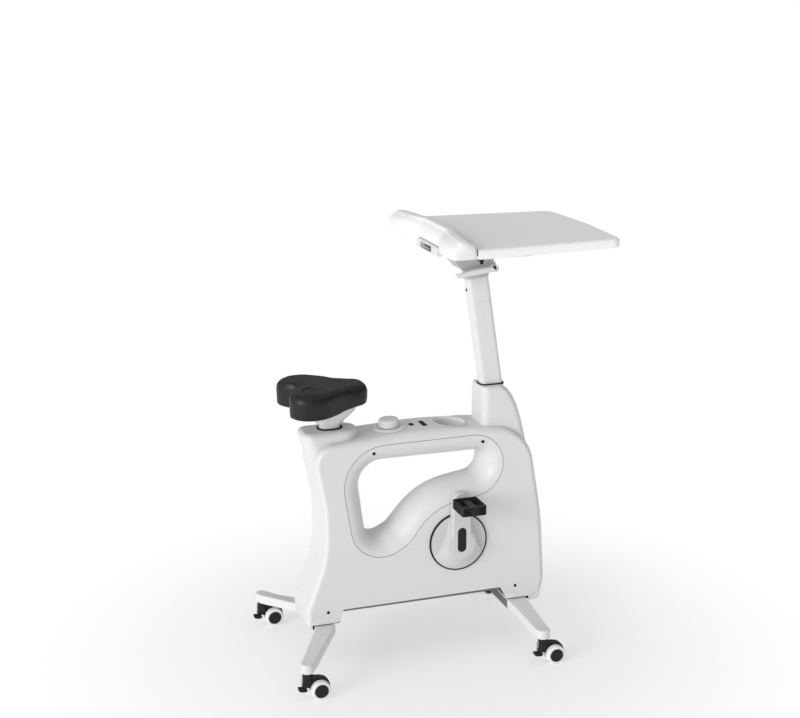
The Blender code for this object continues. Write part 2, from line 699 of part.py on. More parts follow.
def caster(name, x, y):
    axle_x = x + CASTER_TRAIL
    swivel = name + "_swivel"
    moving(swivel, (x, y, CASTER_TOP))
    hood_radius = WHEEL_RADIUS + 0.0022
    corners = [
        (x - 0.014, WHEEL_RADIUS + 0.0127, 0.002), (x + 0.004, WHEEL_RADIUS + 0.0127, 0.004),
        (axle_x - 0.008, WHEEL_RADIUS - 0.0098, 0.004), (axle_x + 0.008, WHEEL_RADIUS - 0.0098, 0.004),
        (axle_x + hood_radius, WHEEL_RADIUS - 0.0048, 0.003),
        (axle_x + hood_radius, WHEEL_RADIUS + hood_radius, hood_radius * 0.97),
        (x - 0.014, WHEEL_RADIUS + hood_radius + 0.0125, 0.010),
    ]
    hood = slab(outline(corners, chord=0.0009), y - HOOD_WIDTH / 2, y + HOOD_WIDTH / 2, "y")
    barrel = rod(BARREL_RADIUS, WHEEL_RADIUS + 0.0182, CASTER_TOP, "z", (x, y, 0), 18)
    stem = rod(STEM_RADIUS, CASTER_TOP - 0.01, CASTER_TOP + STEM_REACH, "z", (x, y, 0), 12)
    axle = rod(0.004, y - 0.022, y + 0.022, "y", (axle_x, 0, WHEEL_RADIUS), 12)
    piece(name + "_hood", hood, BLACK, swivel, joins=[barrel, stem, axle])
    inner = HOOD_WIDTH / 2 + 0.0012
    outer = inner + WHEEL_WIDTH
    profile = [
        (0.0, 0.0230), (0.0043, 0.0230), (0.0043, inner), (WHEEL_RADIUS - 0.0010, inner),
        (WHEEL_RADIUS, inner + 0.0010), (WHEEL_RADIUS, outer - 0.0040),
        (WHEEL_RADIUS - 0.0025, outer - 0.0010), (CAP_RADIUS, outer - 0.0005),
        (CAP_RADIUS - 0.0010, outer + 0.0015), (0.0, outer + 0.0020),
    ]
    for side, letter in ((-1, "a"), (1, "b")):
        wheel_body = "{}_wheel_{}".format(name, letter)
        moving(wheel_body, (axle_x, y, WHEEL_RADIUS), swivel)
        wheel = turned(profile, 16, "y")
        if side < 0:
            mirrored(wheel)
        wheel.transform(Matrix.Translation((axle_x, y, WHEEL_RADIUS)))
        piece(wheel_body, wheel, TYRE, wheel_body)
    tab_body = name + "_brake"
    level = WHEEL_RADIUS + 0.0072
    pivot = (x - 0.0065, level)
    moving(tab_body, (pivot[0], y, pivot[1]), swivel)
    tab = [
        (x - BRAKE_REACH, level - 0.0012, 0.001), (x - 0.014, level - 0.0040, 0.003),
        (pivot[0] + 0.004, level - 0.0040, 0.002), (pivot[0] + 0.004, level + 0.0036, 0.001),
        (pivot[0] - 0.001, level + 0.0052, 0.002), (x - 0.016, level + 0.0052, 0.003),
        (x - BRAKE_REACH, level + 0.0062, 0.001),
    ]
    points = outline(tab, roll=0.001)
    piece(tab_body, slab(points, y - 0.009, y + 0.009, "y", steps=1), BLACK, tab_body)


def make_casters():
    for end, leg in (("rear", REAR_LEG), ("front", FRONT_LEG)):
        for hand, side in (("right", -1), ("left", 1)):
            caster("{}_{}_caster".format(end, hand), leg["tip"][0], side * leg["tip"][1])


# Seat

def make_seat():
    sleeve = tube(post_outline(RUN_GAP + SLEEVE_WALL), post_outline(RUN_GAP), *SLEEVE)
    inner = POST_SIZE[1] / 2 + RUN_GAP + 0.0008
    cheeks = []
    for side in (-1, 1):
        corners = [(POST_X - 0.024, RAIL_TOP + SEAT_GAP), (POST_X + 0.016, RAIL_TOP + SEAT_GAP),
                   (POST_X + 0.019, SLEEVE[0] + 0.045), (POST_X - 0.020, SLEEVE[0] + 0.045)]
        near = min(side * inner, side * (inner + 0.004))
        points = outline([(x, z, 0.002) for x, z in corners])
        cheeks.append(slab(points, near, near + 0.004, "y"))
    reach = inner + 0.0045
    sole = slab(outline(box_corners((POST_X - 0.031, -reach), (POST_X + 0.029, reach), 0.002)),
                RAIL_TOP + SEAT_GAP, RAIL_TOP + 0.005, "z")
    piece("seat_frame", sleeve, PAINTED_STEEL, joins=[bolted(*cheeks), sole])

    moving("seat_lift", (POST_X, 0, SADDLE_NECK_TOP))
    post = tube(post_outline(), post_outline(-POST_WALL), POST_BOTTOM, POST_TOP)
    piece("seat_post", post, PALE, "seat_lift")

    levels = [      # height, then how far the bracket stands out behind, before and beside the post
        (0.6620, 0.0070, 0.0060, 0.0050), (0.6650, 0.0090, 0.0075, 0.0065), (0.6700, 0.0095, 0.0110, 0.0070),
        (0.6840, 0.0200, 0.0270, 0.0145), (0.6960, 0.0290, 0.0400, 0.0195), (0.7080, 0.0330, 0.0450, 0.0205),
        (0.7150, 0.0330, 0.0430, 0.0205),
    ]
    rings = []
    for z, behind, before, beside in levels:
        back = POST_X - POST_SIZE[0] / 2 - behind
        front = POST_X + POST_SIZE[0] / 2 + before
        half = POST_SIZE[1] / 2 + beside
        ring = outline(box_corners((back, -half), (front, half), half * 0.92), arcs=[5, 5, 5, 5])
        rings.append([Vector((p.x, p.y, z)) for p, _, _ in ring])
    socket = slab(post_outline(SEAT_GAP), 0.64, POST_TOP + SEAT_GAP, "z")
    piece("saddle_bracket", loft(rings), PALE, "seat_lift", cuts=[socket])
    make_saddle()

    root = POST_SIZE[1] / 2 + 0.0176
    moving("saddle_lever", (POST_X + 0.004, root + 0.0049, 0.6890), "seat_lift")
    corners = [(POST_X - 0.003, root), (POST_X + 0.011, root),
               (POST_X + 0.013, root + 0.0609), (POST_X - 0.005, root + 0.0609)]
    points = outline([(x, y, 0.003) for x, y in corners], roll=0.001)
    paddle = slab(points, 0.6865, 0.6915, "z", steps=1)
    piece("saddle_lever", paddle, BLACK, "saddle_lever")


SADDLE_EDGE = [            # half of the saddle's outline, nose first, as shares of its size
    (1.000, 0.000), (0.992, 0.160), (0.945, 0.305), (0.840, 0.420), (0.700, 0.560),
    (0.555, 0.765), (0.400, 0.950), (0.240, 1.000), (0.110, 0.880), (0.040, 0.600),
    (0.085, 0.330), (0.165, 0.120), (0.190, 0.000),
]


def smooth_loop(points, per_span):
    """Closed smooth curve through its points."""
    count = len(points)
    curve = []
    for k in range(count):
        p0, p1, p2, p3 = (points[(k + j - 1) % count] for j in range(4))
        for step in range(per_span):
            t = step / per_span
            curve.append(0.5 * (2 * p1 + (p2 - p0) * t + (2 * p0 - 5 * p1 + 4 * p2 - p3) * t * t
                                + (3 * p1 - p0 - 3 * p2 + p3) * t ** 3))
    return curve


def saddle_top(x, y):
    """Height of the saddle's upper surface."""
    length = SADDLE_FRONT - SADDLE_BACK
    forward = (x - SADDLE_BACK) / length
    height = SADDLE_TOP - 0.017 * max(0.0, forward - 0.45) ** 1.3
    lobe = max(0.0, 1 - ((abs(y) - 0.058) / 0.045) ** 2)
    dish = 0.010 * max(0.0, 1 - ((forward - 0.30) / 0.30) ** 2) * lobe
    channel = 0.006 * max(0.0, 1 - (y / 0.022) ** 2) * max(0.0, 1 - max(0.0, forward - 0.55) / 0.3)
    return height - dish - channel


def make_saddle():
    length = SADDLE_FRONT - SADDLE_BACK
    half = [Vector((SADDLE_BACK + length * u, SADDLE_HALF_WIDTH * v)) for u, v in SADDLE_EDGE]
    full = half + [Vector((p.x, -p.y)) for p in reversed(half[1:-1])]
    edge = smooth_loop(full, 2)
    middle = Vector((-0.235, 0.0))

    def ring(share, height):
        drawn = [middle + (p - middle) * share for p in edge]
        return [Vector((p.x, p.y, height(p))) for p in drawn]

    def rim(p):
        forward = (p.x - SADDLE_BACK) / length
        return SADDLE_RIM + 0.010 * sin(pi * min(1.0, max(0.0, (forward - 0.35) / 0.6)))

    def crown(drop):
        return lambda p: saddle_top(p.x, p.y) - drop

    rings = [
        ring(0.30, lambda p: 0.7154), ring(0.79, lambda p: 0.7154),
        ring(0.88, rim), ring(0.940, rim), ring(0.982, lambda p: rim(p) + 0.008),
        ring(1.0, crown(0.032)), ring(0.985, crown(0.018)),
        ring(0.945, crown(0.007)), ring(0.87, crown(0.0015)), ring(0.74, crown(0.0)),
        ring(0.52, crown(0.0)), ring(0.25, crown(0.0)),
    ]
    piece("saddle", loft(rings), RUBBER, "seat_lift", sharp=80)


# Column and desk

def make_mast():
    whole = leaned(tube(column_outline(RUN_GAP + MAST_TUBE_WALL), column_outline(RUN_GAP),
                        -0.600, MAST_TUBE_HIGH))
    floor = block((0.20, -0.1, 0.05), (0.45, 0.1, RAIL_TOP + SEAT_GAP))
    corners = box_corners((0.2750, -RAIL_HALF_WIDTH), (RAIL_FRONT - 0.001, RAIL_HALF_WIDTH), 0.002)
    sole = slab(outline(corners), RAIL_TOP + SEAT_GAP, RAIL_TOP + 0.004, "z")
    piece("mast_tube", whole, PAINTED_STEEL, cuts=[floor], joins=[sole])

    moving("desk_lift", (MAST_FOOT[0], 0, MAST_FOOT[1]))
    column = leaned(tube(column_outline(), column_outline(-COLUMN_WALL), COLUMN_LOW, COLUMN_HIGH))
    piece("mast_column", column, PALE, "desk_lift")


def make_desk_bracket():
    """Channel-shaped hanger on the column's head, with the plate that the desk's rails grip."""
    foot = DESK_BOTTOM - 0.0825
    shoulder = DESK_BOTTOM - 0.0545
    corners = [
        (HEAD_BACK - 0.0026, foot, 0.006), (HEAD_FRONT - 0.0006, foot, 0.006),
        (HEAD_FRONT + 0.0154, foot + 0.006, 0.006), (HEAD_FRONT + 0.0154, shoulder - 0.005, 0.006),
        (HEAD_FRONT + 0.0094, shoulder, 0.004), (HEAD_FRONT + 0.0094, PLATE_BOTTOM + 0.001, 0.001),
        (PLATE_BACK, PLATE_BOTTOM + 0.001, 0.001), (PLATE_BACK - 0.002, PLATE_BOTTOM - 0.001, 0.001),
        (PLATE_BACK - 0.0620, PLATE_BOTTOM - 0.001, 0.001), (PLATE_BACK - 0.0470, shoulder, 0.012),
        (PLATE_BACK - 0.0310, shoulder - 0.018, 0.010),
    ]
    hanger = slab(outline(corners, roll=0.001),
                  -BRACKET_HALF_WIDTH, BRACKET_HALF_WIDTH, "y", steps=1)
    corners = box_corners((PLATE_BACK, -PLATE_HALF_WIDTH), (PLATE_BACK + 0.085, PLATE_HALF_WIDTH), 0.004)
    plate = slab(outline(corners), PLATE_BOTTOM, PLATE_TOP, "z")
    collar = leaned(slab(column_outline(0.0035), COLLAR_LOW, COLUMN_HIGH + 0.010, "z"))
    side = -BRACKET_HALF_WIDTH
    stud_at = (STUD_X, 0, STUD_Z)
    stud = rod(STUD_RADIUS, side - 0.020, side + 0.006, "y", stud_at, 12)
    wall = 0.003
    room = slab(outline([
        (HEAD_BACK - 0.0106, foot + 0.0085, 0.006), (HEAD_FRONT + 0.0104, foot + 0.0085, 0.004),
        (HEAD_FRONT + 0.0059, PLATE_BOTTOM - 0.002, 0.001), (PLATE_BACK - 0.055, PLATE_BOTTOM - 0.002, 0.001),
        (PLATE_BACK - 0.041, shoulder, 0.010)]), -BRACKET_HALF_WIDTH + wall, BRACKET_HALF_WIDTH - wall, "y")
    corners = box_corners((PLATE_BACK + 0.015, shoulder + 0.002),
                          (PLATE_BACK + 0.031, shoulder + 0.014), 0.001)
    window = slab(outline(corners), -0.06, 0.06, "y")
    socket = leaned(slab(column_outline(SEAT_GAP), COLLAR_LOW - 0.02, COLUMN_HIGH + 0.004, "z"))
    piece("desk_bracket", hanger, STEEL, "desk_lift", joins=[plate, stud, collar],
          cuts=[room, window, socket])

    moving("clamp_lever", (STUD_X, side - 0.014, STUD_Z), "desk_lift")
    near = side - 0.026
    corners = [
        (STUD_X - 0.108, STUD_Z - 0.0200, 0.004), (STUD_X - 0.069, STUD_Z - 0.0160, 0.010),
        (STUD_X, STUD_Z - 0.0085, 0.0072), (STUD_X, STUD_Z + 0.0075, 0.0072), (STUD_X - 0.059, STUD_Z, 0.010),
        (STUD_X - 0.089, STUD_Z - 0.0070, 0.006), (STUD_X - 0.112, STUD_Z - 0.0110, 0.0030),
    ]
    arm = slab(outline(corners, roll=0.003), near, near + 0.015, "y", steps=1)
    barrel = rod(0.0095, near - 0.001, side - 0.0006, "y", stud_at, 20, edge=0.0015)
    bore = rod(STUD_RADIUS + RUN_GAP, side - 0.04, 0.0, "y", stud_at, 12)
    piece("clamp_lever", arm, PALE, "clamp_lever", joins=[barrel], cuts=[bore])


def make_desk_rails():
    """Pressed rails that hook round the bracket's plate, welded to a cross plate."""
    top = DESK_BOTTOM - SEAT_GAP
    edge = PLATE_HALF_WIDTH + RUN_GAP
    corners = [
        (-edge - 0.004, PLATE_BOTTOM - 0.0045), (-edge + 0.010, PLATE_BOTTOM - 0.0045),
        (-edge + 0.010, PLATE_BOTTOM - RUN_GAP), (-edge, PLATE_BOTTOM - RUN_GAP),
        (-edge, PLATE_TOP + RUN_GAP), (edge, PLATE_TOP + RUN_GAP),
        (edge, PLATE_BOTTOM - RUN_GAP), (edge - 0.010, PLATE_BOTTOM - RUN_GAP),
        (edge - 0.010, PLATE_BOTTOM - 0.0045), (edge + 0.004, PLATE_BOTTOM - 0.0045),
        (edge + 0.004, top), (-edge - 0.004, top),
    ]
    rails = slab(outline([(y, z, 0.0002) for y, z in corners]), 0.0300 + 0.09, 0.3600, "x")
    cross = slab(outline(box_corners((0.1560, -0.2050), (0.2640, 0.2050), 0.012)), top - 0.0100, top, "z")
    piece("desk_rails", rails, STEEL, "desk_slide", joins=[cross])


def desk_half(x):
    return DESK_HALF_WIDTH - DESK_TAPER * x


def pad_rear(y):
    """Rear edge of the arm pad: two lobes for the forearms and a hollow between them."""
    share = min(1.0, max(0.0, (abs(y) - 0.070) / 0.110))
    return 0.050 - 0.031 * share * share * (3 - 2 * share)


def pad_front(y):
    return 0.1110 - 0.0190 * (abs(y) / (PAD_LENGTH / 2)) ** 2


def pad_section(y, inset, height):
    """Ring of the pad at one place along its length, shrunk by inset towards its ends."""
    back = pad_rear(y) + inset
    front = pad_front(y) - inset * 0.35
    low = DESK_BOTTOM
    top = low + height
    crown = 0.004 * height / (PAD_TOP - low)
    middle = (back + front) / 2
    shape = [
        (back + 0.004, low), (middle, low), (front - 0.001, low), (front, low + 0.002),
        (front, low + height * 0.60), (front - 0.004, top - 0.006), (front - 0.014, top - 0.0015),
        (middle + 0.008, top + crown), (middle - 0.010, top + crown * 0.8), (back + 0.024, top - 0.002),
        (back + 0.011, top - 0.009), (back + 0.003, top - 0.019), (back, low + height * 0.38),
        (back + 0.001, low + 0.004),
    ]
    return [Vector((x, y, z)) for x, z in shape]


def make_arm_pad():
    half = PAD_LENGTH / 2
    height = PAD_TOP - DESK_BOTTOM
    rings = []
    for degrees in (6, 24, 45, 66, 84):
        turn = radians(degrees)
        rings.append(pad_section(-half + 0.034 * (1 - cos(turn)), 0.024 * (1 - sin(turn)) ** 1.5,
                                 height - 0.014 * (1 - sin(turn)) ** 1.6))
    inner = half - 0.036
    spans = 12
    for k in range(spans + 1):
        rings.append(pad_section(-inner + 2 * inner * k / spans, 0.0, height))
    for degrees in (84, 66, 45, 24, 6):
        turn = radians(degrees)
        rings.append(pad_section(half - 0.034 * (1 - cos(turn)), 0.024 * (1 - sin(turn)) ** 1.5,
                                 height - 0.014 * (1 - sin(turn)) ** 1.6))
    rings = sorted(rings, key=lambda ring: ring[0].y)
    grow = SEAT_GAP
    tongue = outline(tongue_corners(), grow=grow)
    pocket = slab(tongue, DESK_BOTTOM - 0.01, PAD_LEDGE + grow, "z")
    piece("arm_pad", loft(rings), PALE, "desk_slide", cuts=[pocket], sharp=60)


def tongue_corners():
    """Plan of the board's thin rear part, under the pad."""
    half = desk_half(DESK_STEP) - 0.012
    return box_corners((DESK_BACK, -half), (DESK_STEP + 0.06, half))


def make_desktop():
    front_half = desk_half(DESK_CORNER_X)
    turn = atan2(DESK_FRONT - DESK_CORNER_X, front_half - DESK_FRONT_BOW * 0.059 / 2)
    nose = DESK_FRONT + DESK_FRONT_BOW * (1 / cos(turn) - 1)
    corners = [
        (DESK_BACK, -desk_half(DESK_BACK), 0.012), (DESK_CORNER_X, -front_half, DESK_CORNER_ROUND),
        (nose, 0.0, DESK_FRONT_BOW), (DESK_CORNER_X, front_half, DESK_CORNER_ROUND),
        (DESK_BACK, desk_half(DESK_BACK), 0.012),
    ]
    points = outline(corners)
    rings = []
    for inset, height in ((0.002, DESK_BOTTOM), (0.0, DESK_BOTTOM + 0.002), (0.0, DESK_TOP - 0.009),
                          (0.001, DESK_TOP - 0.005), (0.004, DESK_TOP - 0.0015), (0.009, DESK_TOP)):
        rings.append([Vector((p.x - n.x * inset, p.y - n.y * inset, height)) for p, n, _ in points])
    half = PAD_LENGTH / 2 + 0.01
    stations = [-half + 2 * half * k / 20 for k in range(21)]
    edge = [Vector((pad_front(y) + SEAT_GAP, y)) for y in stations]
    seat = [[Vector((p.x, p.y, z)) for p in edge] + [Vector((-0.02, half, z)), Vector((-0.02, -half, z))]
            for z in (PAD_LEDGE, DESK_TOP + 0.02)]
    narrow = desk_half(DESK_STEP) - 0.012
    wide = DESK_HALF_WIDTH + 0.03
    under = DESK_BOTTOM - 0.03
    over = DESK_TOP + 0.05
    sides = [block((-0.02, -wide, under), (DESK_STEP, -narrow, over)),
             block((-0.02, narrow, under), (DESK_STEP, wide, over))]
    piece("desktop", loft(rings), PALE, "desk_slide", cuts=[loft(seat), bolted(*sides)])


def make_lever_box():
    """Open-fronted box under the arm pad, with the paddle that frees the column's lock."""
    top = DESK_BOTTOM - SEAT_GAP
    low = DESK_BOTTOM - 0.0235
    front = PLATE_BACK - 0.051
    case = slab(outline(box_corners((0.0470, low), (front, top), 0.003), roll=0.001),
                -0.078, 0.078, "y", steps=1)
    slot = block((0.03, -0.035, low + 0.0028), (front - 0.018, 0.050, top - 0.0042))
    piece("lever_box", case, WHITE, "desk_slide", cuts=[slot])
    pivot = (front - 0.024, low + 0.0078)
    moving("height_lever", (pivot[0], 0.0, pivot[1]), "desk_slide")
    corners = [(0.0485, pivot[1] - 0.0018), (pivot[0], pivot[1] - 0.0018),
               (pivot[0], pivot[1] + 0.0018), (0.0485, pivot[1] + 0.0032)]
    points = outline([(x, z, 0.001) for x, z in corners], roll=0.0008)
    blade = slab(points, -0.015, 0.035, "y", steps=1)
    barrel = rod(0.0040, -0.035 + SEAT_GAP, 0.050 - SEAT_GAP, "y", (pivot[0], 0, pivot[1]), 16)
    piece("height_lever", blade, GREY, "height_lever", joins=[barrel])


# Drive

def crank_shape():
    """Right crank at its upper position: a disc, a low dome and an arm in one moulding."""
    at = (CRANK_X, 0, CRANK_Z)
    hub = turned([(0.0, -ARM_FACE + 0.0004), (0.036, -ARM_FACE + 0.0010), (0.0425, -ARM_FACE + 0.0030),
                  (DISC_RADIUS - 0.0027, -DISC_FACE - 0.0015), (DISC_RADIUS - 0.0027, -DISC_FACE),
                  (DISC_RADIUS - 0.0015, -DISC_FACE), (DISC_RADIUS, -DISC_FACE + 0.0015),
                  (DISC_RADIUS, -DISC_BACK), (0.0, -DISC_BACK)], 36, "y", at)
    top = CRANK_LENGTH + CRANK_END
    corners = [(-0.0300, -0.020, 0.010, 0.004), (0.0300, -0.020, 0.010, 0.004), (0.0265, 0.062, 0.060, 0.004),
               (CRANK_END, top, CRANK_END * 0.97, 0.003), (-CRANK_END, top, CRANK_END * 0.97, 0.003),
               (-0.0265, 0.062, 0.060, 0.004)]
    local = outline(corners)
    place = Vector((CRANK_X, CRANK_Z))
    arm = slab([(p + place, n, roll) for p, n, roll in local], -ARM_FACE, -DISC_FACE + 0.002, "y", steps=2)
    scoops = [rod(0.180, -ARM_FACE - 0.01, -DISC_FACE + 0.0005, "y",
                  (CRANK_X + side * 0.2083, 0, CRANK_Z + 0.0785), 40) for side in (-1, 1)]
    eye = rod(SPINDLE_RADIUS + SEAT_GAP, -ARM_FACE - 0.01, -DISC_FACE + 0.01, "y",
              (CRANK_X, 0, CRANK_Z + CRANK_LENGTH), 24)
    return hub, arm, scoops, eye


def half_turn(bm):
    """Turns a shape half a turn about the crank axis and over to the left side."""
    about = Matrix.Translation((CRANK_X, 0, CRANK_Z))
    bm.transform(about @ Matrix.Diagonal((-1, -1, -1, 1)) @ about.inverted())
    bmesh.ops.recalc_face_normals(bm, faces=bm.faces)
    return bm


def pedal_shape():
    x = CRANK_X
    z = CRANK_Z + CRANK_LENGTH
    length, width, height = PEDAL_SIZE
    inner = -PEDAL_INNER
    outer = inner - width
    plan = outline(box_corners((x - length / 2, outer), (x + length / 2, inner), 0.008), roll=0.0025)
    cage = slab(plan, z - height / 2, z + height / 2, "z", steps=1)
    windows = []
    for side in (-1, 1):
        near = min(x + side * 0.0105, x + side * (length / 2 - 0.006))
        far = max(x + side * 0.0105, x + side * (length / 2 - 0.006))
        windows.append(slab(outline(box_corners((near, outer + 0.010), (far, inner - 0.010), 0.003)),
                            z - 0.03, z + 0.03, "z"))
    grooves = []
    for level in (-0.0062, 0.0, 0.0062):
        grooves.append(block((x - length / 2 + 0.010, outer - 0.004, z + level - 0.0012),
                             (x + length / 2 - 0.010, outer + 0.0022, z + level + 0.0012)))
    bore = rod(SPINDLE_RADIUS + RUN_GAP, outer + 0.004, inner + 0.01, "y", (x, 0, z), 24)
    return cage, [bolted(*windows), bolted(*grooves), bore]


def spindle_shape():
    inner = -PEDAL_INNER
    tip = inner - PEDAL_SIZE[1] + 0.010
    root = -ARM_FACE + 0.020
    flange = 0.0095
    profile = [(0.0, tip), (SPINDLE_RADIUS, tip), (SPINDLE_RADIUS, inner + RUN_GAP),
               (flange, inner + RUN_GAP), (flange, -ARM_FACE - SEAT_GAP),
               (SPINDLE_RADIUS, -ARM_FACE - SEAT_GAP), (SPINDLE_RADIUS, root), (0.0, root)]
    return turned(profile, 16, "y", (CRANK_X, 0, CRANK_Z + CRANK_LENGTH))


def make_cranks():
    moving("crankset", (CRANK_X, 0, CRANK_Z))
    for hand, flip in (("right", False), ("left", True)):
        hub, arm, scoops, eye = crank_shape()
        cage, cuts = pedal_shape()
        spindle = spindle_shape()
        pedal_at = Vector((CRANK_X, -PEDAL_INNER - PEDAL_SIZE[1] / 2, CRANK_Z + CRANK_LENGTH))
        if flip:
            for shape in [hub, arm, eye, cage, spindle] + scoops + cuts:
                half_turn(shape)
            pedal_at = Vector((CRANK_X, -pedal_at.y, CRANK_Z - CRANK_LENGTH))
        piece(hand + "_crank", hub, WHITE, "crankset", cuts=[bolted(*scoops)],
              last=[("UNION", arm), ("DIFFERENCE", eye)])
        piece(hand + "_pedal_spindle", spindle, STEEL, "crankset")
        moving(hand + "_pedal", pedal_at, "crankset")
        piece(hand + "_pedal", cage, BLACK, hand + "_pedal", cuts=cuts)


def make_crank_axle():
    reach = DISC_BACK - SEAT_GAP
    axle = rod(AXLE_RADIUS, -reach, reach, "y", (CRANK_X, 0, CRANK_Z), 24, edge=0.001)
    piece("crank_axle", axle, STEEL, "crankset")
    half = BELT_WIDTH / 2
    seat = PULLEY_RADIUS
    centre = -PULLEY_SIDE
    profile = [
        (AXLE_RADIUS + SEAT_GAP, centre - 0.009), (0.018, centre - 0.009), (0.018, centre - 0.002),
        (seat - 0.0095, centre - 0.002), (seat - 0.0075, centre - half - 0.0018),
        (seat + 0.003, centre - half - 0.0018), (seat, centre - half - 0.0003),
        (seat, centre + half + 0.0003), (seat + 0.003, centre + half + 0.0018),
        (seat - 0.0075, centre + half + 0.0018), (seat - 0.0095, centre + 0.002), (0.018, centre + 0.002),
        (0.018, centre + 0.009), (AXLE_RADIUS + SEAT_GAP, centre + 0.009),
    ]
    pulley = turned(profile, 22, "y", (CRANK_X, 0, CRANK_Z), ring=True)
    piece("drive_pulley", pulley, BLACK, "crankset")


def make_crank_housing():
    tube_piece = rod(0.021, -0.030, 0.040, "y", (CRANK_X, 0, CRANK_Z), 24)
    low = RAIL_TOP + SEAT_GAP
    corners = [(CRANK_X - 0.045, low), (CRANK_X + 0.045, low),
               (CRANK_X + 0.017, CRANK_Z), (CRANK_X - 0.017, CRANK_Z)]
    web = slab(outline([(x, z, 0.001) for x, z in corners]), -0.012, 0.012, "y")
    sole = slab(outline(box_corners((CRANK_X - 0.055, -0.024), (CRANK_X + 0.055, 0.024), 0.003)),
                low, low + 0.004, "z")
    bore = rod(AXLE_RADIUS + RUN_GAP, -0.05, 0.06, "y", (CRANK_X, 0, CRANK_Z), 24)
    piece("crank_housing", tube_piece, PAINTED_STEEL, joins=[web, sole], cuts=[bore])


def make_flywheel():
    x, z = FLYWHEEL_AT
    moving("flywheel", (x, 0, z))
    half = BELT_WIDTH / 2
    centre = -PULLEY_SIDE
    seat = SMALL_PULLEY
    bore = PIN_RADIUS + 2 * SEAT_GAP
    rim = FLYWHEEL_RADIUS - 0.015
    profile = [
        (bore, centre - half - 0.002), (seat + 0.003, centre - half - 0.002), (seat, centre - half - 0.0003),
        (seat, centre + half + 0.0003), (seat + 0.003, centre + half + 0.002), (0.009, centre + half + 0.002),
        (0.009, -0.014), (0.014, -0.004), (rim - 0.002, -0.004), (rim, -FLYWHEEL_HALF),
        (FLYWHEEL_RADIUS, -FLYWHEEL_HALF), (FLYWHEEL_RADIUS, FLYWHEEL_HALF), (rim, FLYWHEEL_HALF),
        (rim - 0.002, 0.004), (0.014, 0.004), (0.009, 0.014), (bore, 0.014),
    ]
    piece("flywheel", turned(profile, 22, "y", (x, 0, z), ring=True), STEEL, "flywheel")
    near = -PULLEY_SIDE - BELT_WIDTH / 2 - 0.0085
    far = 0.0190
    wall = 0.003
    low = RAIL_TOP + SEAT_GAP
    px, pz = MAGNET_PIVOT
    ears = outline([(x - 0.040, low, 0.001), (px + 0.012, low, 0.001), (px + 0.010, pz + 0.008, 0.006),
                    (px - 0.010, pz + 0.008, 0.006), (x + 0.016, z + 0.012, 0.012),
                    (x - 0.016, z + 0.012, 0.012)])
    channel = slab(ears, near, far, "y")
    inside = block((x - 0.10, near + wall, low + wall), (px + 0.05, far - wall, z + 0.05))
    bores = rod(PIN_RADIUS + SEAT_GAP, near - 0.01, far + 0.01, "y", (x, 0, z), 24)
    pin = rod(PIN_RADIUS - 0.001, -0.0120, far - 0.001, "y", (px, 0, pz), 16)
    piece("drive_bracket", channel, PAINTED_STEEL, cuts=[inside, bores], last=[("UNION", pin)])
    head = 0.003
    profile = [(0.0, near - head - SEAT_GAP), (0.008, near - head - SEAT_GAP), (0.008, near - SEAT_GAP),
               (PIN_RADIUS, near - SEAT_GAP), (PIN_RADIUS, far + SEAT_GAP), (0.008, far + SEAT_GAP),
               (0.008, far + head + SEAT_GAP), (0.0, far + head + SEAT_GAP)]
    piece("flywheel_axle", turned(profile, 16, "y", (x, 0, z)), STEEL)


def make_magnet_bracket():
    """Fork with two magnet cheeks that swings over the flywheel's rim."""
    x, z = FLYWHEEL_AT
    px, pz = MAGNET_PIVOT
    moving("magnet_bracket", (px, 0, pz))
    boss = rod(0.0085, -0.011, 0.0125, "y", (px, 0, pz), 16)
    corners = [(px - 0.002, pz - 0.006), (px + 0.004, pz + 0.006), (px - 0.014, pz + 0.050),
               (x + 0.040, z + 0.020), (x + 0.030, z + 0.005), (x + 0.060, pz + 0.020), (px - 0.012, pz)]
    cheek = slab(outline([(u, v, 0.001) for u, v in corners]), -0.0145, 0.0145, "y")
    gap = slab(circle((x, z), FLYWHEEL_RADIUS + 0.0065, 32), -0.0115, 0.0115, "y")
    bore = rod(PIN_RADIUS - 0.001 + SEAT_GAP, -0.03, 0.03, "y", (px, 0, pz), 16)
    piece("magnet_bracket", cheek, BLACK, "magnet_bracket", joins=[boss], cuts=[gap, bore])


def belt_outline(grow):
    """Loop round both pulleys, as an open belt runs."""
    small = Vector(FLYWHEEL_AT)
    large = Vector((CRANK_X, CRANK_Z))
    span = large - small
    lean = atan2(span.y, span.x)
    r_small = SMALL_PULLEY + SEAT_GAP + grow
    r_large = PULLEY_RADIUS + SEAT_GAP + grow
    spread = acos((r_small - r_large) / span.length)
    points = []
    for centre, radius, first, last, steps in (
            (large, r_large, -spread, spread, 28),
            (small, r_small, spread, 2 * pi - spread, 14)):
        for k in range(steps + 1):
            turn = lean + first + (last - first) * k / steps
            spoke = Vector((cos(turn), sin(turn)))
            points.append((centre + spoke * radius, spoke, 0.0))
    return points


def make_belt():
    half = BELT_WIDTH / 2
    near = -PULLEY_SIDE - half
    ring = tube(belt_outline(BELT_THICKNESS), belt_outline(0.0), near, near + BELT_WIDTH, "y")
    piece("drive_belt", ring, RUBBER)


# Deck controls

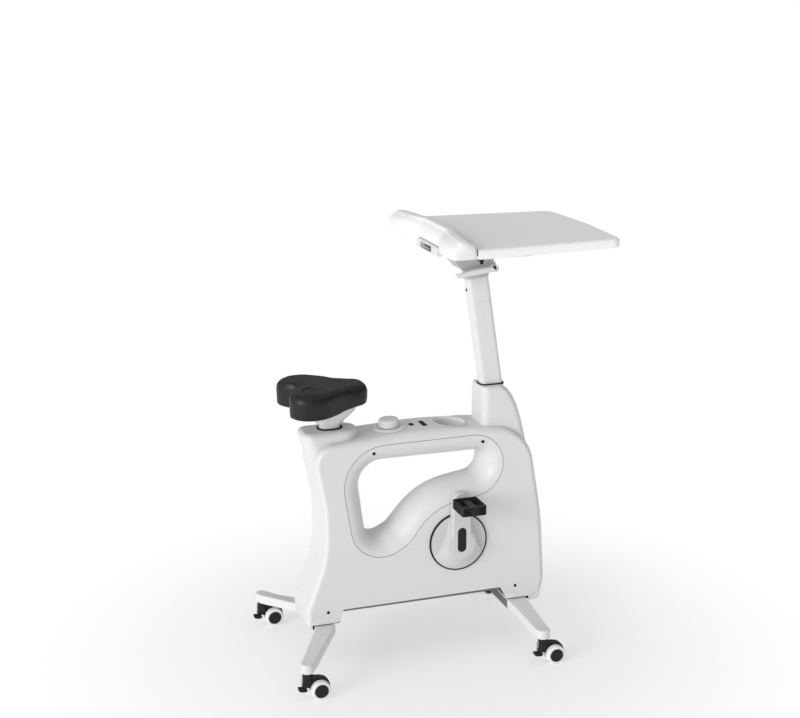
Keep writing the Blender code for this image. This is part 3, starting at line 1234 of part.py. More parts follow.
def make_controls():
    height, slope = deck_at(KNOB_X)
    dish = [(0.0060, 0.0004), (DISH_RADIUS - 0.001, 0.0004), (DISH_RADIUS, 0.0014),
            (DISH_RADIUS - 0.005, 0.0040), (KNOB_RADIUS + 0.0065, 0.0055), (KNOB_RADIUS + 0.0035, 0.0045),
            (0.0060, 0.0045)]
    piece("knob_base", on_deck(turned(dish, 28, ring=True), KNOB_X), WHITE)
    moving("resistance_knob", (KNOB_X, 0, height))
    knob = [(0.0, -0.022), (0.0045, -0.022), (0.0045, 0.0050), (KNOB_RADIUS, 0.0050), (KNOB_RADIUS, 0.0210),
            (KNOB_RADIUS - 0.0012, 0.0245), (KNOB_RADIUS - 0.004, 0.0262), (0.0, 0.0268)]
    piece("resistance_knob", on_deck(turned(knob, 24), KNOB_X), WHITE, "resistance_knob")

    height, slope = deck_at(BUTTON_X)
    moving("mode_button", (BUTTON_X, 0, height))
    button = slab(outline(centred_box((0, 0), BUTTON_SIZE, 0.002), roll=0.0008),
                  -0.0080, 0.0022, "z", steps=1)
    piece("mode_button", on_deck(button, BUTTON_X), BLACK, "mode_button")

    window = slab(outline(centred_box((0, 0), DISPLAY_SIZE, 0.0012), roll=0.0005),
                  -0.0090, 0.0006, "z", steps=1)
    piece("display", on_deck(window, DISPLAY_X), BLACK)

    cup = [
        (0.0, -CUP_DEPTH), (CUP_RADIUS - 0.004, -CUP_DEPTH), (CUP_RADIUS, -CUP_DEPTH + 0.006),
        (CUP_RADIUS, -0.003), (CUP_RADIUS + 0.0040, 0.0024), (CUP_RIM - 0.001, 0.0020), (CUP_RIM, 0.0008),
        (CUP_RADIUS + CUP_WALL, 0.0005), (CUP_RADIUS + CUP_WALL, -CUP_DEPTH + 0.004),
        (CUP_RADIUS - 0.003, -CUP_DEPTH - CUP_WALL), (0.0, -CUP_DEPTH - CUP_WALL),
    ]
    piece("cup_holder", on_deck(turned(cup, 28), CUP_X), WHITE)


def main():
    clear_scene()
    moving("frame", (0, 0, 0))
    make_base_rail()
    make_legs()
    make_casters()
    make_shells()
    make_trims()
    make_neck_covers()
    make_gaskets()
    make_seat()
    make_mast()
    make_desk_bracket()
    moving("desk_slide", (0.19, 0, DESK_BOTTOM), "desk_lift")
    make_desk_rails()
    make_desktop()
    make_arm_pad()
    make_lever_box()
    make_cranks()
    make_crank_axle()
    make_crank_housing()
    make_flywheel()
    make_magnet_bracket()
    make_belt()
    make_controls()
    bodies["frame"][0].location = (-DATUM_X, 0, 0)


main()
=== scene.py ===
import json
from math import acos, atan2, ceil, cos, pi, radians, sin, tan

import bmesh
import bpy
from mathutils import Matrix, Vector

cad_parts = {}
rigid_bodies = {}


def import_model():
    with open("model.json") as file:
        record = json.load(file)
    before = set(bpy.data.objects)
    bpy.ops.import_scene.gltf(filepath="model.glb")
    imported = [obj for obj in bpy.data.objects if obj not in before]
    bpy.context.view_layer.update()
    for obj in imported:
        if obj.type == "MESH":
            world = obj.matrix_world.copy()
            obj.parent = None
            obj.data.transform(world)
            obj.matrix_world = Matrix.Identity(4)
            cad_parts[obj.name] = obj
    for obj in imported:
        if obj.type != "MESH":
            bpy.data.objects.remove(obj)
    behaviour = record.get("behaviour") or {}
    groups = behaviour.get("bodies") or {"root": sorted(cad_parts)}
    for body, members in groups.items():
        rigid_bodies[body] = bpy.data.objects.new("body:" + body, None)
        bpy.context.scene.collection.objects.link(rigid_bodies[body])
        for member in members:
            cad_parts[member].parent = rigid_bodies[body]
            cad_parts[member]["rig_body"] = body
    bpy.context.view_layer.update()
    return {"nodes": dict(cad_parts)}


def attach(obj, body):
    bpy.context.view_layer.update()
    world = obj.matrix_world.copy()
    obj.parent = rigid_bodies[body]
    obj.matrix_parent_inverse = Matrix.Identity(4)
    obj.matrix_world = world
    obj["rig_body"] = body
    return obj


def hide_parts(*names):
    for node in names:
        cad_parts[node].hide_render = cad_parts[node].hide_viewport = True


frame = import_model()
print("frame loaded:", len(frame["nodes"]), "nodes")

datumX = 0.0615  # the outlines are given from the middle of the wheelbase, this far behind the frame's origin
past = 0.01  # how far a cutter runs past what it cuts


# Small helpers

def addObject(name, data):
    thing = bpy.data.objects.new(name, data)
    bpy.context.scene.collection.objects.link(thing)
    return thing


def workObject(name, bm):
    mesh = bpy.data.meshes.new(name)
    bm.to_mesh(mesh)
    bm.free()
    return addObject(name, mesh)


def discard(thing):
    mesh = thing.data
    bpy.data.objects.remove(thing)
    bpy.data.meshes.remove(mesh)


def addNode(tree, kind, inputs=None, **settings):
    # inputs are given by name or number, each as a value or as the output that feeds it
    node = tree.nodes.new(kind)
    for setting, value in settings.items():
        setattr(node, setting, value)
    for label, value in (inputs or {}).items():
        if isinstance(value, bpy.types.NodeSocket):
            tree.links.new(value, node.inputs[label])
        else:
            node.inputs[label].default_value = value
    return node


def addMath(tree, operation, *values):
    return addNode(tree, "ShaderNodeMath", dict(enumerate(values)), operation=operation).outputs["Value"]


# Camera, lights and floor

view = {"place": (-1.4053, -3.8528, 1.9162), "right": (0.9462, -0.3235, 0.0), "up": (0.0842, 0.2463, 0.9655),
        "lens": 71.38, "sensor": 36.0}


def makeCamera():
    data = bpy.data.cameras.new("camera")
    data.lens = view["lens"]
    data.sensor_width = view["sensor"]
    data.sensor_fit = "HORIZONTAL"
    camera = addObject("camera", data)
    right = Vector(view["right"]).normalized()
    up = Vector(view["up"]).normalized()
    turned = Matrix((right, up, right.cross(up))).transposed().to_4x4()
    camera.matrix_world = Matrix.Translation(view["place"]) @ turned
    bpy.context.scene.camera = camera


studio = {"leftFront": 1.34, "leftBack": 0.40, "overhead": 0.68, "sunFrom": (-1.0, -0.50, 0.30),
          "sunPower": 1.50, "sunSpread": 28.0, "floorRadius": 14.0, "floorGlow": 0.46, "fadeFrom": 0.30,
          "fadeTo": 1.15}


def makeWorld():
    # white behind the bike, which is lit from the left, mostly from the front, and evenly from above
    world = bpy.data.worlds.new("studio")
    world.use_nodes = True
    tree = world.node_tree
    place = addNode(tree, "ShaderNodeTexCoord")
    split = addNode(tree, "ShaderNodeSeparateXYZ", {"Vector": place.outputs["Generated"]})
    depth = addNode(tree, "ShaderNodeMapRange", {
        "Value": split.outputs["Y"], "From Min": -1.0, "To Min": studio["leftFront"],
        "To Max": studio["leftBack"]})
    across = addNode(tree, "ShaderNodeMapRange", {
        "Value": split.outputs["X"], "From Min": -1.0, "To Min": 1.0, "To Max": 0.0})
    rise = addNode(tree, "ShaderNodeMapRange", {
        "Value": split.outputs["Z"], "To Max": studio["overhead"],
        "To Min": addMath(tree, "MULTIPLY", depth.outputs["Result"], across.outputs["Result"])},
        interpolation_type="SMOOTHSTEP")
    path = addNode(tree, "ShaderNodeLightPath")
    seen = addNode(tree, "ShaderNodeMix", {
        "Factor": path.outputs["Is Camera Ray"], "A": rise.outputs["Result"], "B": 1.0})
    background = tree.nodes["Background"]
    background.inputs["Color"].default_value = (1.0, 1.0, 1.0, 1.0)
    tree.links.new(seen.outputs["Result"], background.inputs["Strength"])
    bpy.context.scene.world = world
    bpy.context.scene.view_settings.view_transform = "Standard"


def floorPaint():
    # matt white near the bike, which fades into the white behind it
    material = finishFrom("floorPaint", color=(0.95, 0.95, 0.95), roughness=0.9, gloss=0.02, specular=0.1,
                          dust=0.0, tone=0.0, bump=0.02)
    tree = material.node_tree
    place = addNode(tree, "ShaderNodeTexCoord")
    length = addNode(tree, "ShaderNodeVectorMath", {0: place.outputs["Object"]}, operation="LENGTH")
    fade = addNode(tree, "ShaderNodeMapRange", {
        "Value": length.outputs["Value"], "From Min": studio["fadeFrom"], "From Max": studio["fadeTo"],
        "To Min": studio["floorGlow"]}, interpolation_type="SMOOTHSTEP")
    glow = addNode(tree, "ShaderNodeEmission")
    mix = addNode(tree, "ShaderNodeMixShader", {
        "Fac": fade.outputs["Result"], 1: tree.nodes["Principled BSDF"].outputs["BSDF"],
        2: glow.outputs["Emission"]})
    tree.links.new(mix.outputs["Shader"], tree.nodes["Material Output"].inputs["Surface"])
    return material


def makeStudio():
    makeWorld()
    light = bpy.data.lights.new("sun", "SUN")
    light.energy = studio["sunPower"]
    light.angle = radians(studio["sunSpread"])
    sun = addObject("sun", light)
    sun.rotation_euler = Vector(studio["sunFrom"]).to_track_quat("Z", "Y").to_euler()
    bm = bmesh.new()
    bmesh.ops.create_circle(bm, cap_ends=True, segments=96, radius=studio["floorRadius"])
    floor = workObject("floor", bm)
    floor.data.materials.append(floorPaint())


# Surface effects that the finishes share

def newGroup(name, inputs, outputs):
    # gives the group, the outputs of its input node and the inputs of its output node
    group = bpy.data.node_groups.new(name, "ShaderNodeTree")
    kinds = {"Color": "NodeSocketColor"}
    for label, value in inputs.items():
        kind = kinds.get(label, "NodeSocketFloat")
        socket = group.interface.new_socket(label, in_out="INPUT", socket_type=kind)
        socket.default_value = value
    for label in outputs:
        kind = kinds.get(label, "NodeSocketFloat")
        group.interface.new_socket(label, in_out="OUTPUT", socket_type=kind)
    start = group.nodes.new("NodeGroupInput")
    end = group.nodes.new("NodeGroupOutput")
    return group, start.outputs, end.inputs


def makeGrainGroup():
    # the fine and the coarse grain of plastics and paint
    group, given, result = newGroup(
        "surfaceGrain", {"Fine Scale": 2200.0, "Coarse Scale": 260.0, "Coarse Share": 0.35}, ["Height"])
    place = addNode(group, "ShaderNodeTexCoord").outputs["Object"]
    fine = addNode(group, "ShaderNodeTexNoise", {"Vector": place, "Scale": given["Fine Scale"], "Detail": 2.0})
    coarse = addNode(group, "ShaderNodeTexNoise", {
        "Vector": place, "Scale": given["Coarse Scale"], "Detail": 3.0})
    blend = addNode(group, "ShaderNodeMix", {
        "Factor": given["Coarse Share"], "A": fine.outputs["Fac"], "B": coarse.outputs["Fac"]})
    group.links.new(blend.outputs["Result"], result["Height"])
    return group


def makeHideGroup():
    # the small cells of a leather-like skin, their edges bent a little
    group, given, result = newGroup("hideGrain", {"Cell Scale": 620.0, "Crease": 0.25}, ["Height"])
    place = addNode(group, "ShaderNodeTexCoord").outputs["Object"]
    bend = addNode(group, "ShaderNodeTexNoise", {"Vector": place, "Scale": 90.0})
    sway = addNode(group, "ShaderNodeVectorMath", {
        0: bend.outputs["Color"], 1: (0.004, 0.004, 0.004), 2: place}, operation="MULTIPLY_ADD")
    cells = addNode(group, "ShaderNodeTexVoronoi", {
        "Vector": sway.outputs["Vector"], "Scale": given["Cell Scale"]}, feature="DISTANCE_TO_EDGE")
    ramp = addNode(group, "ShaderNodeMapRange", {
        "Value": cells.outputs["Distance"], "From Max": given["Crease"]}, interpolation_type="SMOOTHSTEP")
    group.links.new(ramp.outputs["Result"], result["Height"])
    return group


def makeDriftGroup():
    # the tone drifts slowly, hands change the gloss, and dust lies on what faces up
    group, given, result = newGroup("handledTone", {
        "Color": (0.8, 0.8, 0.8, 1.0), "Tone Change": 0.03, "Roughness": 0.4, "Gloss Change": 0.06,
        "Dust": 0.04}, ["Color", "Roughness"])
    place = addNode(group, "ShaderNodeTexCoord")
    slow, smear = (addNode(group, "ShaderNodeTexNoise", {
        "Vector": place.outputs["Object"], "Scale": scale, "Detail": detail}).outputs["Fac"]
        for scale, detail in ((7.0, 4.0), (38.0, 5.0)))
    lift = addMath(group, "SUBTRACT", 1.0, addMath(group, "MULTIPLY", given["Tone Change"], 0.5))
    shade = addMath(group, "MULTIPLY_ADD", slow, given["Tone Change"], lift)
    tint = addNode(group, "ShaderNodeVectorMath", {0: given["Color"], "Scale": shade}, operation="SCALE")
    facing = addNode(group, "ShaderNodeSeparateXYZ", {"Vector": place.outputs["Normal"]})
    upward = addNode(group, "ShaderNodeMapRange", {"Value": facing.outputs["Z"], "From Min": 0.35})
    lie = addMath(group, "MULTIPLY", upward.outputs["Result"], smear)
    veil = addNode(group, "ShaderNodeMix", {
        "Factor": addMath(group, "MULTIPLY", lie, given["Dust"]), "A": tint.outputs["Vector"],
        "B": (0.46, 0.44, 0.41, 1.0)}, data_type="RGBA")
    gloss = addMath(group, "MULTIPLY_ADD", smear, given["Gloss Change"], given["Roughness"])
    group.links.new(veil.outputs["Result"], result["Color"])
    group.links.new(gloss, result["Roughness"])
    return group


effects = {"grain": makeGrainGroup(), "hide": makeHideGroup(), "drift": makeDriftGroup()}
usualLook = {"tone": 0.03, "gloss": 0.06, "dust": 0.03, "metallic": 0.0, "coat": 0.0, "coatRoughness": 0.1,
             "sheen": 0.0, "specular": 0.5, "crease": 0.25, "fine": 2200.0, "coarse": 260.0, "share": 0.35,
             "bump": 0.15, "depth": 0.0002}


def finishFrom(name, **own):
    look = {**usualLook, **own}
    material = bpy.data.materials.new(name)
    material.use_nodes = True
    tree = material.node_tree
    drift = addNode(tree, "ShaderNodeGroup", {
        "Color": (*look["color"], 1.0), "Tone Change": look["tone"], "Roughness": look["roughness"],
        "Gloss Change": look["gloss"], "Dust": look["dust"]}, node_tree=effects["drift"])
    if "hide" in look:
        grain = addNode(tree, "ShaderNodeGroup", {
            "Cell Scale": look["hide"], "Crease": look["crease"]}, node_tree=effects["hide"])
    else:
        grain = addNode(tree, "ShaderNodeGroup", {
            "Fine Scale": look["fine"], "Coarse Scale": look["coarse"], "Coarse Share": look["share"]},
            node_tree=effects["grain"])
    bump = addNode(tree, "ShaderNodeBump", {
        "Strength": look["bump"], "Distance": look["depth"], "Height": grain.outputs["Height"]})
    shader = tree.nodes["Principled BSDF"]
    tree.links.new(drift.outputs["Color"], shader.inputs["Base Color"])
    tree.links.new(drift.outputs["Roughness"], shader.inputs["Roughness"])
    tree.links.new(bump.outputs["Normal"], shader.inputs["Normal"])
    shader.inputs["Metallic"].default_value = look["metallic"]
    shader.inputs["Coat Weight"].default_value = look["coat"]
    shader.inputs["Coat Roughness"].default_value = look["coatRoughness"]
    shader.inputs["Sheen Weight"].default_value = look["sheen"]
    shader.inputs["Specular IOR Level"].default_value = look["specular"]
    return material


# Finishes

def whiteMoulding():
    return finishFrom("whiteMoulding", color=(0.70, 0.70, 0.70), roughness=0.40, gloss=0.08, tone=0.02,
                      dust=0.05, fine=2600.0, coarse=420.0, share=0.3, bump=0.16, depth=0.00012)


def crankMoulding():
    return finishFrom("crankMoulding", color=(0.60, 0.60, 0.60), roughness=0.36, gloss=0.08, tone=0.02,
                      dust=0.05, fine=2600.0, coarse=420.0, share=0.3, bump=0.16, depth=0.00012)


def whitePaint():
    return finishFrom("whitePaint", color=(0.71, 0.71, 0.71), roughness=0.30, gloss=0.07, tone=0.025,
                      dust=0.06, fine=900.0, coarse=170.0, share=0.6, bump=0.18, depth=0.00018, coat=0.15)


def deskSkin():
    return finishFrom("deskSkin", color=(0.93, 0.93, 0.925), roughness=0.46, gloss=0.08, tone=0.02,
                      dust=0.06, fine=1500.0, coarse=300.0, share=0.5, bump=0.2, depth=0.00015)


def padSkin():
    return finishFrom("padSkin", color=(0.82, 0.82, 0.815), roughness=0.50, gloss=0.08, tone=0.03,
                      dust=0.05, hide=900.0, crease=0.22, bump=0.12, depth=0.0001, sheen=0.08)


def saddleSkin():
    return finishFrom("saddleSkin", color=(0.006, 0.006, 0.0063), roughness=0.36, gloss=0.12, specular=0.36,
                      tone=0.2, dust=0.02, hide=760.0, crease=0.2, bump=0.22, depth=0.00012)


def blackNylon():
    return finishFrom("blackNylon", color=(0.011, 0.011, 0.0115), roughness=0.40, gloss=0.14, specular=0.25,
                      tone=0.25, dust=0.04, fine=2000.0, coarse=500.0, bump=0.25, depth=0.00012)


def blackRubber():
    return finishFrom("blackRubber", color=(0.013, 0.013, 0.0135), roughness=0.62, gloss=0.12, specular=0.2,
                      tone=0.3, dust=0.08, fine=1300.0, coarse=240.0, bump=0.3, depth=0.0002)


def greyNylon():
    return finishFrom("greyNylon", color=(0.30, 0.30, 0.31), roughness=0.42, gloss=0.1, tone=0.05,
                      dust=0.04, bump=0.2, depth=0.00012)


def wheelTread():
    return finishFrom("wheelTread", color=(0.82, 0.82, 0.81), roughness=0.48, gloss=0.1, tone=0.06,
                      dust=0.10, fine=1500.0, coarse=330.0, bump=0.2, depth=0.00015)


def turnedSteel():
    return finishFrom("turnedSteel", color=(0.50, 0.50, 0.51), roughness=0.24, gloss=0.16, tone=0.1,
                      dust=0.02, metallic=1.0, fine=3200.0, coarse=700.0, bump=0.1, depth=0.00008)


def blackEnamel():
    return finishFrom("blackEnamel", color=(0.028, 0.028, 0.030), roughness=0.38, gloss=0.14, tone=0.2,
                      dust=0.06, fine=800.0, coarse=160.0, share=0.6, bump=0.25, depth=0.0002, coat=0.1)


def greyZinc():
    return finishFrom("greyZinc", color=(0.52, 0.52, 0.52), roughness=0.42, gloss=0.16, tone=0.08,
                      dust=0.03, metallic=0.6, fine=1500.0, coarse=130.0, share=0.7, bump=0.12, depth=0.0001)


def smokedWindow():
    return finishFrom("smokedWindow", color=(0.004, 0.004, 0.0045), roughness=0.28, gloss=0.06,
                      specular=0.12, tone=0.1, dust=0.02, bump=0.03)


# a dark grey painted as shade, on the strip under the shell's lower edge and on the front beam under the body
def shadeGrey():
    return finishFrom("shadeGrey", color=(0.15, 0.15, 0.152), roughness=0.6, gloss=0.1, specular=0.25,
                      tone=0.1, dust=0.06, fine=1500.0, coarse=300.0, bump=0.25, depth=0.00015)


finishes = {make.__name__: make() for make in (
    whiteMoulding, crankMoulding, whitePaint, deskSkin, padSkin, saddleSkin, blackNylon, blackRubber,
    greyNylon, wheelTread, turnedSteel, blackEnamel, greyZinc, smokedWindow, shadeGrey)}
print("finishes made")


# Outlines and solids, in metres from the middle of the wheelbase

def cornerArc(before, corner, after, radius):
    back = (before - corner).normalized()
    ahead = (after - corner).normalized()
    opening = back.angle(ahead)
    centre = corner + (back + ahead).normalized() * radius / sin(opening / 2)
    first = corner + back * radius / tan(opening / 2) - centre
    last = corner + ahead * radius / tan(opening / 2) - centre
    start = atan2(first.y, first.x)
    sweep = (atan2(last.y, last.x) - start + pi) % (2 * pi) - pi
    return centre, start, sweep


def rounded(corners, arcs=None, chord=0.0002, grow=0.0, roll=0.0):
    # corners are (u, v, radius) or (u, v, radius, roll); gives (point, outward normal, roll) all round
    flat = [Vector(corner[:2]) for corner in corners]
    count = len(flat)
    area = sum(flat[k - 1].cross(flat[k]) for k in range(count))
    points = []
    for k, corner in enumerate(corners):
        radius = max(corner[2], 0.0001)
        centre, start, sweep = cornerArc(flat[k - 1], flat[k], flat[(k + 1) % count], radius)
        edge = corner[3] if len(corner) > 3 else roll
        fine = 2 * acos(1 - chord / radius) if radius > chord else pi
        steps = arcs[k] if arcs else max(2, ceil(abs(sweep) / fine))
        outward = 1 if (sweep > 0) == (area > 0) else -1
        if outward > 0:
            edge = min(edge, radius + grow)
        for step in range(steps + 1):
            angle = start + sweep * step / steps
            normal = Vector((cos(angle), sin(angle))) * outward
            points.append((centre + normal * outward * radius + normal * grow, normal, edge))
    return points


def boxCorners(low, high, radius=0.0):
    ends = [(low[0], low[1]), (high[0], low[1]), (high[0], high[1]), (low[0], high[1])]
    return [(u, v, radius) for u, v in ends]


def centredBox(centre, size, radius=0.0):
    low = (centre[0] - size[0] / 2, centre[1] - size[1] / 2)
    high = (centre[0] + size[0] / 2, centre[1] + size[1] / 2)
    return boxCorners(low, high, radius)


def placed(point, depth, along):
    if along == "x":
        return Vector((depth, point[0], point[1]))
    if along == "y":
        return Vector((point[0], depth, point[1]))
    return Vector((point[0], point[1], depth))


def merged(bm):
    bmesh.ops.remove_doubles(bm, verts=bm.verts, dist=0.000002)
    bmesh.ops.dissolve_degenerate(bm, edges=bm.edges, dist=0.000002)
    bmesh.ops.recalc_face_normals(bm, faces=bm.faces)
    return bm


def lofted(rings, endless=False):
    # a grid is wrapped round the rings, and its open ends are filled
    around = len(rings[0])
    spans = len(rings) if endless else len(rings) - 1
    bm = bmesh.new()
    bmesh.ops.create_grid(bm, x_segments=around, y_segments=spans, size=1.0)
    for vert in bm.verts:
        place = round((vert.co.x + 1) / 2 * around) % around
        row = round((vert.co.y + 1) / 2 * spans) % len(rings)
        vert.co = rings[row][place]
    merged(bm)
    if not endless:
        bmesh.ops.holes_fill(bm, edges=[edge for edge in bm.edges if edge.is_boundary], sides=0)
        bmesh.ops.recalc_face_normals(bm, faces=bm.faces)
    return bm


def slab(points, low, high, along, steps=5):
    # an outline's solid between two depths, its edges rolled by each point's own roll
    rolled = any(roll > 0 for p, n, roll in points)
    turns = [pi / 2 * k / steps for k in range(steps + 1)] if rolled else [pi / 2]
    levels = [(low, 1, turn) for turn in turns] + [(high, -1, turn) for turn in reversed(turns)]
    return lofted([[placed(p - n * roll * (1 - sin(turn)), face + side * roll * (1 - cos(turn)), along)
                    for p, n, roll in points] for face, side, turn in levels])


def block(low, high):
    return slab(rounded(boxCorners(low[:2], high[:2])), low[2], high[2], "z")


def tube(outer, inner, low, high, along="z"):
    return lofted([[placed(p, depth, along) for p, n, roll in points]
                   for points, depth in ((outer, low), (outer, high), (inner, high), (inner, low))], True)


def lathed(profile, steps=64, along="z", at=(0.0, 0.0, 0.0), ring=False):
    bm = bmesh.new()
    verts = [bm.verts.new((radius, 0.0, height)) for radius, height in profile]
    pairs = list(zip(verts, verts[1:]))
    if ring:
        pairs.append((verts[-1], verts[0]))
    edges = [bm.edges.new(pair) for pair in pairs]
    bmesh.ops.spin(bm, geom=verts + edges, cent=(0, 0, 0), axis=(0, 0, 1), angle=2 * pi, steps=steps,
                   use_merge=True)
    turn = {"z": Matrix(), "y": Matrix.Rotation(-pi / 2, 4, "X"), "x": Matrix.Rotation(pi / 2, 4, "Y")}
    bm.transform(Matrix.Translation(at) @ turn[along])
    return merged(bm)


def eased(profile, edge, steps=4):
    # a turned profile whose inner corners are rounded by a small radius
    ends = [Vector(point) for point in profile]
    points = [ends[0]]
    for before, corner, after in zip(ends, ends[1:], ends[2:]):
        short = min((before - corner).length, (after - corner).length) * 0.45
        back = (before - corner).normalized() * min(edge, short)
        ahead = (after - corner).normalized() * min(edge, short)
        for k in range(steps + 1):
            t = k / steps
            points.append(corner + back * (1 - t) ** 2 + ahead * t ** 2)
    points.append(ends[-1])
    return [tuple(point) for point in points]


def rod(radius, low, high, along, at, steps=48, edge=0.0):
    profile = [(0.0, low), (radius, low), (radius, high), (0.0, high)]
    return lathed(eased(profile, edge) if edge else profile, steps, along, at)


def together(*shapes):
    whole = bmesh.new()
    for shape in shapes:
        thing = workObject("shape", shape)
        whole.from_mesh(thing.data)
        discard(thing)
    return whole


def leftHand(bm):
    bmesh.ops.scale(bm, vec=(1, -1, 1), verts=bm.verts)
    bmesh.ops.recalc_face_normals(bm, faces=bm.faces)
    return bm


def finalShape(thing):
    # what the object's modifiers make of it, as a bmesh; the object goes
    graph = bpy.context.evaluated_depsgraph_get()
    graph.update()
    bm = bmesh.new()
    bm.from_object(thing, graph)
    discard(thing)
    return bm


def carved(bm, *tools, how="DIFFERENCE"):
    base = workObject("base", bm)
    cutters = [workObject("cutter", tool) for tool in tools]
    for cutter in cutters:
        step = base.modifiers.new("step", "BOOLEAN")
        step.object = cutter
        step.operation = how
        step.solver = "EXACT"
    result = finalShape(base)
    for cutter in cutters:
        discard(cutter)
    bmesh.ops.remove_doubles(result, verts=result.verts, dist=0.000004)
    return result


# Making pieces

def dress(bm, name, finish, body, replaced=(), sharp=32.0, bevel=0.0, segments=2, shift=True, weighted=True):
    # turns a bmesh into a finished piece that rides on its body
    if shift:
        bm.transform(Matrix.Translation((-datumX, 0.0, 0.0)))
    thing = workObject(name, bm)
    thing.data.shade_smooth()
    thing.data.set_sharp_from_angle(angle=radians(sharp))
    thing.data.materials.append(finishes[finish])
    if bevel:
        edge = thing.modifiers.new("edges", "BEVEL")
        edge.width = bevel
        edge.segments = segments
        edge.limit_method = "ANGLE"
        edge.angle_limit = radians(sharp)
        edge.use_clamp_overlap = True
    if weighted:
        even = thing.modifiers.new("normals", "WEIGHTED_NORMAL")
        even.keep_sharp = True
        even.weight = 80
    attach(thing, body)
    if replaced:
        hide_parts(*replaced)
    return thing


def dressBoth(bm, name, finish, replaced=(), sharp=32.0):
    # the right side's piece of the body, and its mirror image on the left
    other = leftHand(bm.copy())
    for hand, shape in (("right_", bm), ("left_", other)):
        dress(shape, hand + name, finish, "bike_frame", [hand + node for node in replaced], sharp)


def meshOf(node):
    # a merged copy of a CAD node's shape, to work on
    bm = bmesh.new()
    bm.from_mesh(frame["nodes"][node].data)
    bmesh.ops.remove_doubles(bm, verts=bm.verts, dist=0.000004)
    bmesh.ops.dissolve_limit(bm, angle_limit=radians(0.4), verts=bm.verts, edges=bm.edges)
    return bm


def softened(node, finish):
    # a CAD node's own shape with its edges eased
    rider = frame["nodes"][node]["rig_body"]
    dress(meshOf(node), node + "_finish", finish, rider, [node], bevel=0.0006, shift=False)


# Body shells and the trims of the hand opening

body = {
    "width": 0.145, "wall": 0.0028, "gap": 0.0003, "seamGap": 0.0011, "seamLip": 0.0006, "portLip": 0.0008,
    "holeLip": 0.0003, "hollowLow": 0.077,
    "outline": [
        (-0.3055, 0.107, 0.006, 0.002), (0.3590, 0.107, 0.014, 0.002), (0.3785, 0.1530, 0.100, 0.018),
        (0.3669, 0.3562, 0.606, 0.020), (0.3204, 0.6128, 0.122, 0.016), (0.1650, 0.6260, 0.800, 0.012),
        (0.0330, 0.6364, 1.294, 0.022), (-0.2951, 0.6150, 0.056, 0.012), (-0.2583, 0.4460, 0.168, 0.010),
        (-0.2557, 0.3062, 0.308, 0.010), (-0.3139, 0.1584, 0.022, 0.015)],
    "arch": [
        (-0.2200, 0.060, 0.0), (0.2660, 0.060, 0.0), (0.2610, 0.1240, 0.003), (0.2430, 0.157, 0.008),
        (-0.2130, 0.155, 0.006), (-0.2205, 0.1240, 0.003)],
    "footEdge": 0.1206, "feet": [(-0.2985, -0.20), (0.24, 0.3290)],
    "flares": [(-0.3000, -0.2210, 0.1385), (0.2612, 0.3490, 0.1355)], "flare": 0.0044,
    "seam": [
        (-0.0215, 0.3221, 0.0967), (0.0429, 0.4168, 0.1713), (0.2565, 0.4476, 0.0856),
        (0.2327, 0.6086, 0.0861), (-0.2262, 0.6054, 0.1139), (-0.1646, 0.2392, 0.0891)],
    "throat": [
        (-0.0635, 0.3559, 0.0261), (0.0295, 0.4598, 0.2292), (0.1943, 0.4874, 0.0354),
        (0.1994, 0.5487, 0.0100), (-0.1590, 0.5504, 0.0604), (-0.1297, 0.3249, 0.0329)],
    "openingArcs": [20, 20, 20, 22, 20, 20], "screwRadius": 0.0045,
    "trimScrews": [(-0.123, 0.586), (0.186, 0.587)], "footScrews": [(-0.254, 0.152), (0.288, 0.156)],
}
half = body["width"] / 2
crank = {"x": 0.116, "z": 0.310, "length": 0.128, "end": 0.0208, "disc": 0.079, "discFace": half + 0.0055,
         "discBack": half - 0.0085, "armFace": half + 0.0310, "portGap": 0.0036}
post = {"x": -0.2240, "size": (0.058, 0.039), "coverTop": 0.6475}
mast = {"foot": (0.2330, 0.7290), "lean": 8.72, "size": (0.062, 0.040), "round": 0.012, "coverTop": 0.7295}
deck = {"knobX": -0.058, "knobRadius": 0.0275, "knobHole": 0.010, "buttonX": 0.005,
        "buttonSize": (0.012, 0.018), "buttonGap": 0.0012, "buttonHoleRound": 0.0026, "displayX": 0.038,
        "displaySize": (0.014, 0.045),
        "displayGap": 0.0006, "displayHoleRound": 0.0015, "cupX": 0.113, "cupRadius": 0.0405,
        "cupDepth": 0.055, "cupWall": 0.002, "cupGap": 0.0006}


def bodySlab(grow, low, high, lowEdge=None):
    corners = [list(corner) for corner in body["outline"]]
    if lowEdge is not None:
        corners[0][1] = lowEdge
        corners[1][1] = lowEdge
    points = [(p, n, max(roll + grow, 0.0006)) for p, n, roll in rounded(corners, grow=grow)]
    return slab(points, low, high, "y", steps=8)


def bodyHalf(grow, middle, lowEdge=None):
    whole = bodySlab(grow, -half - grow, half + grow, lowEdge)
    everything = whole.verts[:] + whole.edges[:] + whole.faces[:]
    bmesh.ops.bisect_plane(whole, geom=everything, plane_co=(0, middle, 0), plane_no=(0, 1, 0),
                           clear_outer=True)
    bmesh.ops.holes_fill(whole, edges=[edge for edge in whole.edges if edge.is_boundary], sides=0)
    return whole


def lipSteps(lip):
    # how much wider than its hole and how deep a rounded rim is, from the outside in
    return [(lip * (1 - sin(pi / 2 * k / 4)), lip * (1 - cos(pi / 2 * k / 4))) for k in range(5)]


def lippedHole(corners, gap, lip, arcs=None, deep=0.012):
    # cutter for a hole in the side panel, whose rim it rounds over
    steps = [(gap + lip, -2 * past)] + [(gap + wider, depth) for wider, depth in lipSteps(lip)] + [(gap, deep)]
    return lofted([[placed(p, depth - half, "y") for p, n, roll in rounded(corners, arcs, grow=grow)]
                   for grow, depth in steps])


